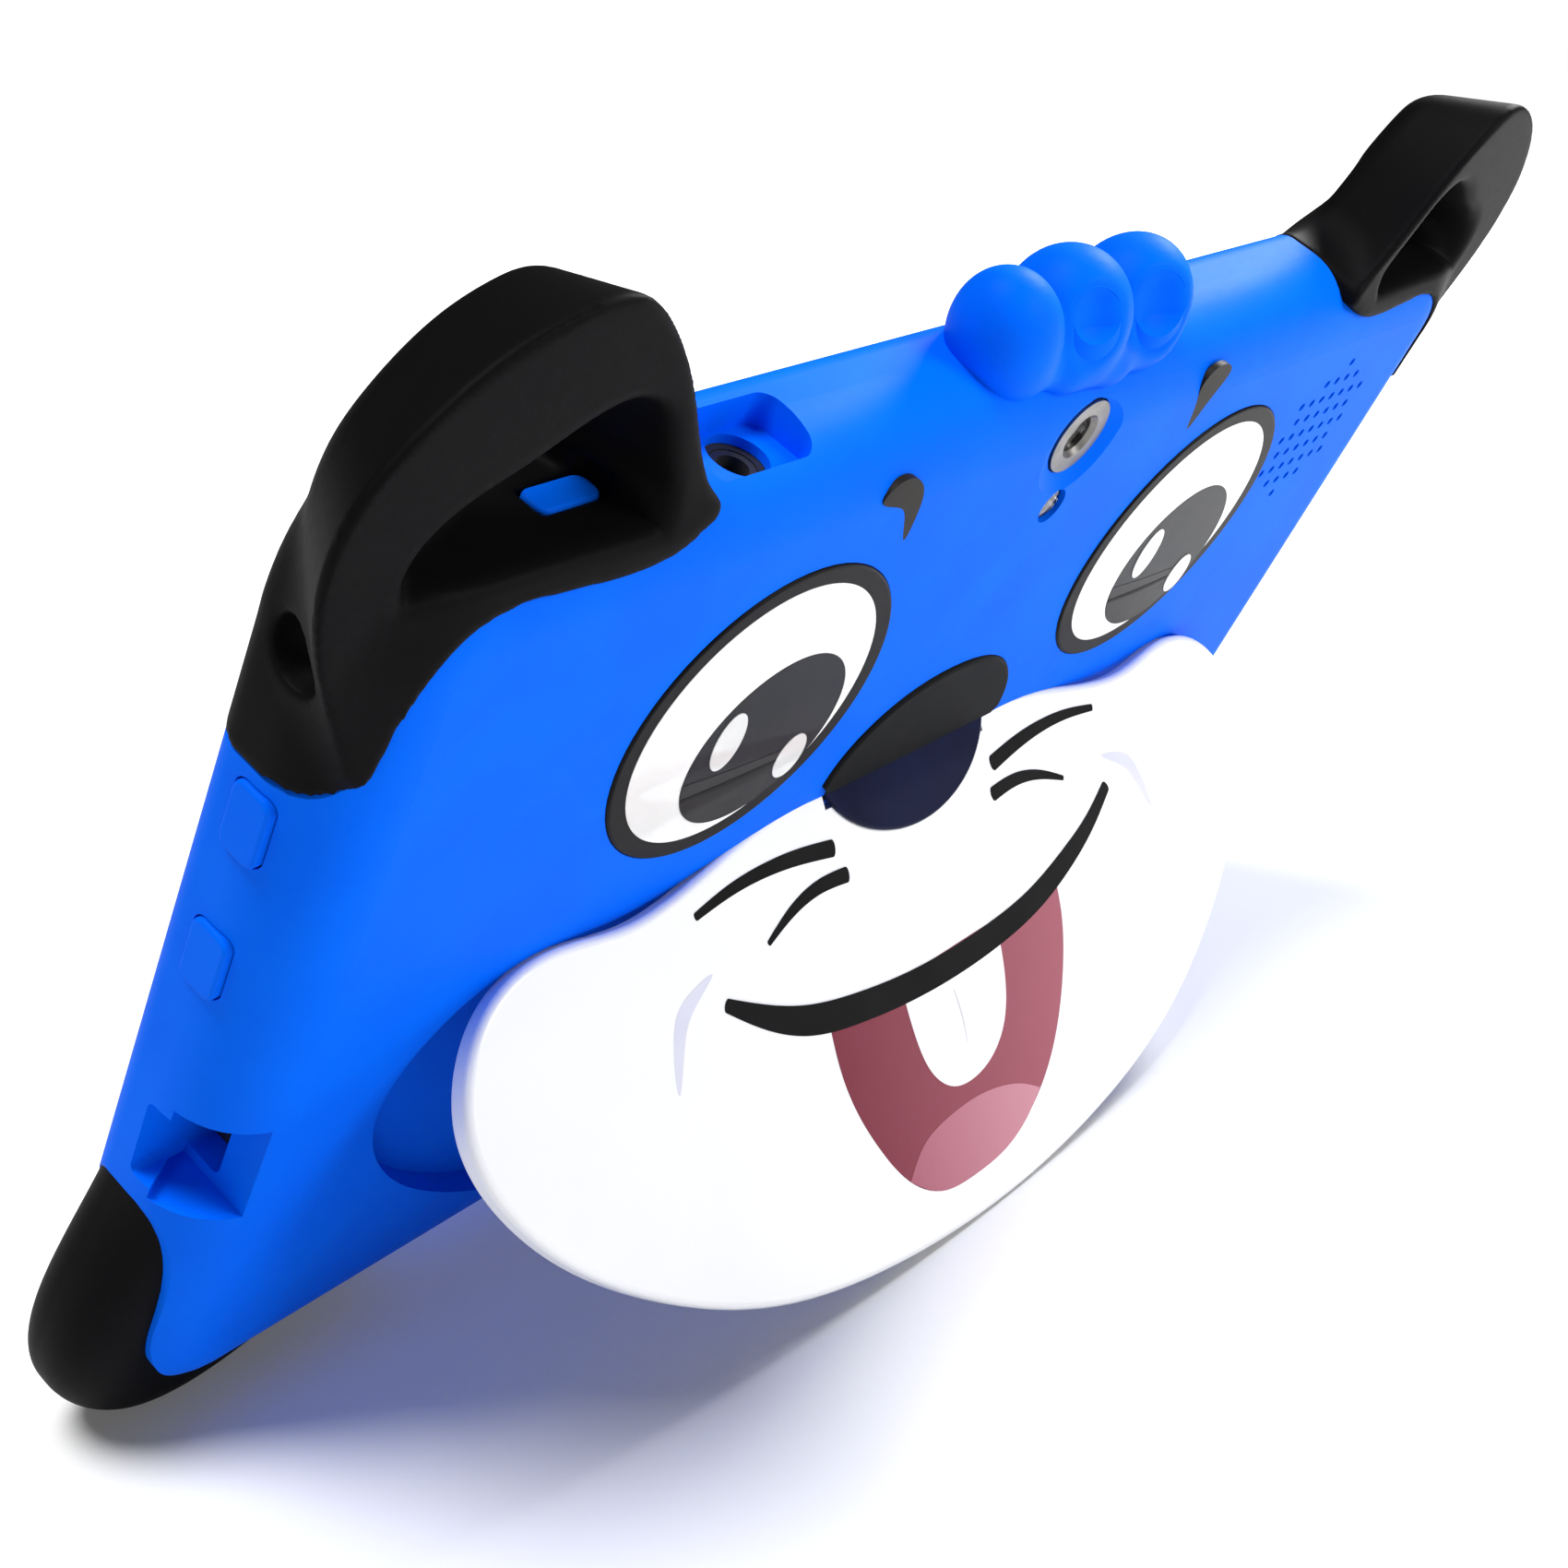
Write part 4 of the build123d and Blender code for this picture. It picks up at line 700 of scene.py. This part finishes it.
# the cheeks' marks are drawn as the right ones
CHEEKS = {
    "upper_cheek": [
        (17.8, -6.1, 2.2), (24.0, -5.1, 2.0), (30.5, -4.6, 1.7), (37.0, -4.8, 1.4), (43.4, -5.7, 1.0),
    ],
    "lower_cheek": [(16.4, -10.0, 2.0), (21.5, -9.7, 1.8), (27.0, -10.6, 1.4), (32.8, -12.9, 0.7)],
}
BLUSH = [(43.2, -12.8), (48.0, -13.7), (51.3, -16.6), (53.0, -23.6), (50.2, -18.6), (47.6, -15.6)]

tongue = np.concatenate([through(TONGUE_TOP, 40), through(TONGUE_BOTTOM, 40)[1:-1]])
plate_print("mouth", through(MOUTH, 80), MOUTH_LAYER, mouth_print_and_painted_light)
plate_print("tongue", tongue, MARK_LAYER, tongue_print_and_painted_light)
plate_print("tooth", through(TOOTH, 60), MARK_LAYER, tooth_print)
plate_print("tooth_line", stroke(TOOTH_LINE, 20), TOOTH_LINE_LAYER, faint_print)
plate_print("smile", stroke(SMILE, 100), SMILE_LAYER, line_print)
for side, word in ((-1, "left"), (1, "right")):
    for label, points in CHEEKS.items():
        mark = stroke([(side * x, y, width) for x, y, width in points])
        plate_print(f"{label}_{word}", mark, MARK_LAYER, line_print)
    blush = through([(side * x, y) for x, y in BLUSH], 60, closed=True)
    plate_print(f"blush_{word}", blush, BLUSH_LAYER, blush_print)

# ------------------------------------------------------------------ stage
FLOOR_REACH = 12.0        # metres to each side
FLOOR_WHITE = (0.9, 0.9, 0.9)
FLOOR_SHADE = (0.89, 0.89, 0.89)
FLOOR_GLOW = 0.1
LIGHT_FROM_WORLD = 0.05
WORLD_AS_SEEN = 1.0

floor_corners = [(x * FLOOR_REACH, y * FLOOR_REACH, 0) for x, y in ((-1, -1), (1, -1), (1, 1), (-1, 1))]
floor_mesh = bpy.data.meshes.new("floor")
floor_mesh.from_pydata(floor_corners, [], [(0, 1, 2, 3)])
floor = bpy.data.objects.new("floor", floor_mesh)
bpy.context.scene.collection.objects.link(floor)
floor_material, floor_shader = new_material("floor_white")
vary(floor_material, floor_shader, FLOOR_WHITE, FLOOR_SHADE, scale=3)
floor_shader.inputs["Roughness"].default_value = 0.6
floor_shader.inputs["Emission Color"].default_value = (1, 1, 1, 1)
floor_shader.inputs["Emission Strength"].default_value = FLOOR_GLOW
floor_shader.inputs["Specular IOR Level"].default_value = 0.0
floor_mesh.materials.append(floor_material)

# the lights aimed at the object are flagged off the floor, so that its shadow stays deep
object_only = bpy.data.collections.new("object_only")
for item in bpy.context.scene.objects:
    if item.type == "MESH" and item is not floor:
        object_only.objects.link(item)


def put_light(data, direction):
    """A light that shines along `direction`."""
    light = bpy.data.objects.new(data.name, data)
    light.rotation_euler = direction.to_track_quat("-Z", "Y").to_euler()
    bpy.context.scene.collection.objects.link(light)
    return light


def soft_light(name, place, target, size, power, off_floor):
    """A round lamp; places and size are metres, and power is in watts."""
    data = bpy.data.lights.new(name, "AREA")
    data.shape = "DISK"
    data.size = size
    data.energy = power
    light = put_light(data, Vector(target) - Vector(place))
    light.location = place
    if off_floor:
        light.light_linking.receiver_collection = object_only


def broad_sun(name, towards, strength, spread):
    """Even light from far away; `spread` is the angle it comes from, in degrees."""
    data = bpy.data.lights.new(name, "SUN")
    data.energy = strength
    data.angle = math.radians(spread)
    put_light(data, -Vector(towards))


broad_sun("overhead", towards=(-0.3, 0.05, 1.0), strength=3.2, spread=25)
soft_light("fill", (0.2, -0.55, 0.36), (0, 0, 0.09), size=0.3, power=2.9, off_floor=True)
soft_light("left", (-0.8, -0.1, 0.55), (-0.1, 0, 0.06), size=0.3, power=0.9, off_floor=True)
soft_light("right_floor", (0.7, 0.0, 0.5), (0.4, -0.05, 0.0), size=0.3, power=8, off_floor=False)

# the world is white where the camera sees it, but lights the scene only faintly
world = bpy.data.worlds.new("studio")
world.use_nodes = True
backdrop = world.node_tree.nodes["Background"]
backdrop.inputs["Color"].default_value = (1, 1, 1, 1)
seen = world.node_tree.nodes.new("ShaderNodeLightPath")
strength = world.node_tree.nodes.new("ShaderNodeMapRange")
strength.inputs["To Min"].default_value = LIGHT_FROM_WORLD
strength.inputs["To Max"].default_value = WORLD_AS_SEEN
world.node_tree.links.new(seen.outputs["Is Camera Ray"], strength.inputs["Value"])
world.node_tree.links.new(strength.outputs["Result"], backdrop.inputs["Strength"])
bpy.context.scene.world = world
bpy.context.scene.view_settings.view_transform = "Standard"

# ------------------------------------------------------------------ camera
CAMERA_FROM_MIDDLE = (-218.66, -153.10, 107.58)
CAMERA_LOOKS = (0.7260, 0.5718, -0.3820)
LENS = 51.57
SENSOR = 36

camera_data = bpy.data.cameras.new("camera")
camera_data.lens = LENS
camera_data.sensor_width = SENSOR
camera = bpy.data.objects.new("camera", camera_data)
camera.location = CASE_MIDDLE + Vector(CAMERA_FROM_MIDDLE) * MM
camera.rotation_euler = Vector(CAMERA_LOOKS).to_track_quat("-Z", "Y").to_euler()
bpy.context.scene.collection.objects.link(camera)
bpy.context.scene.camera = camera
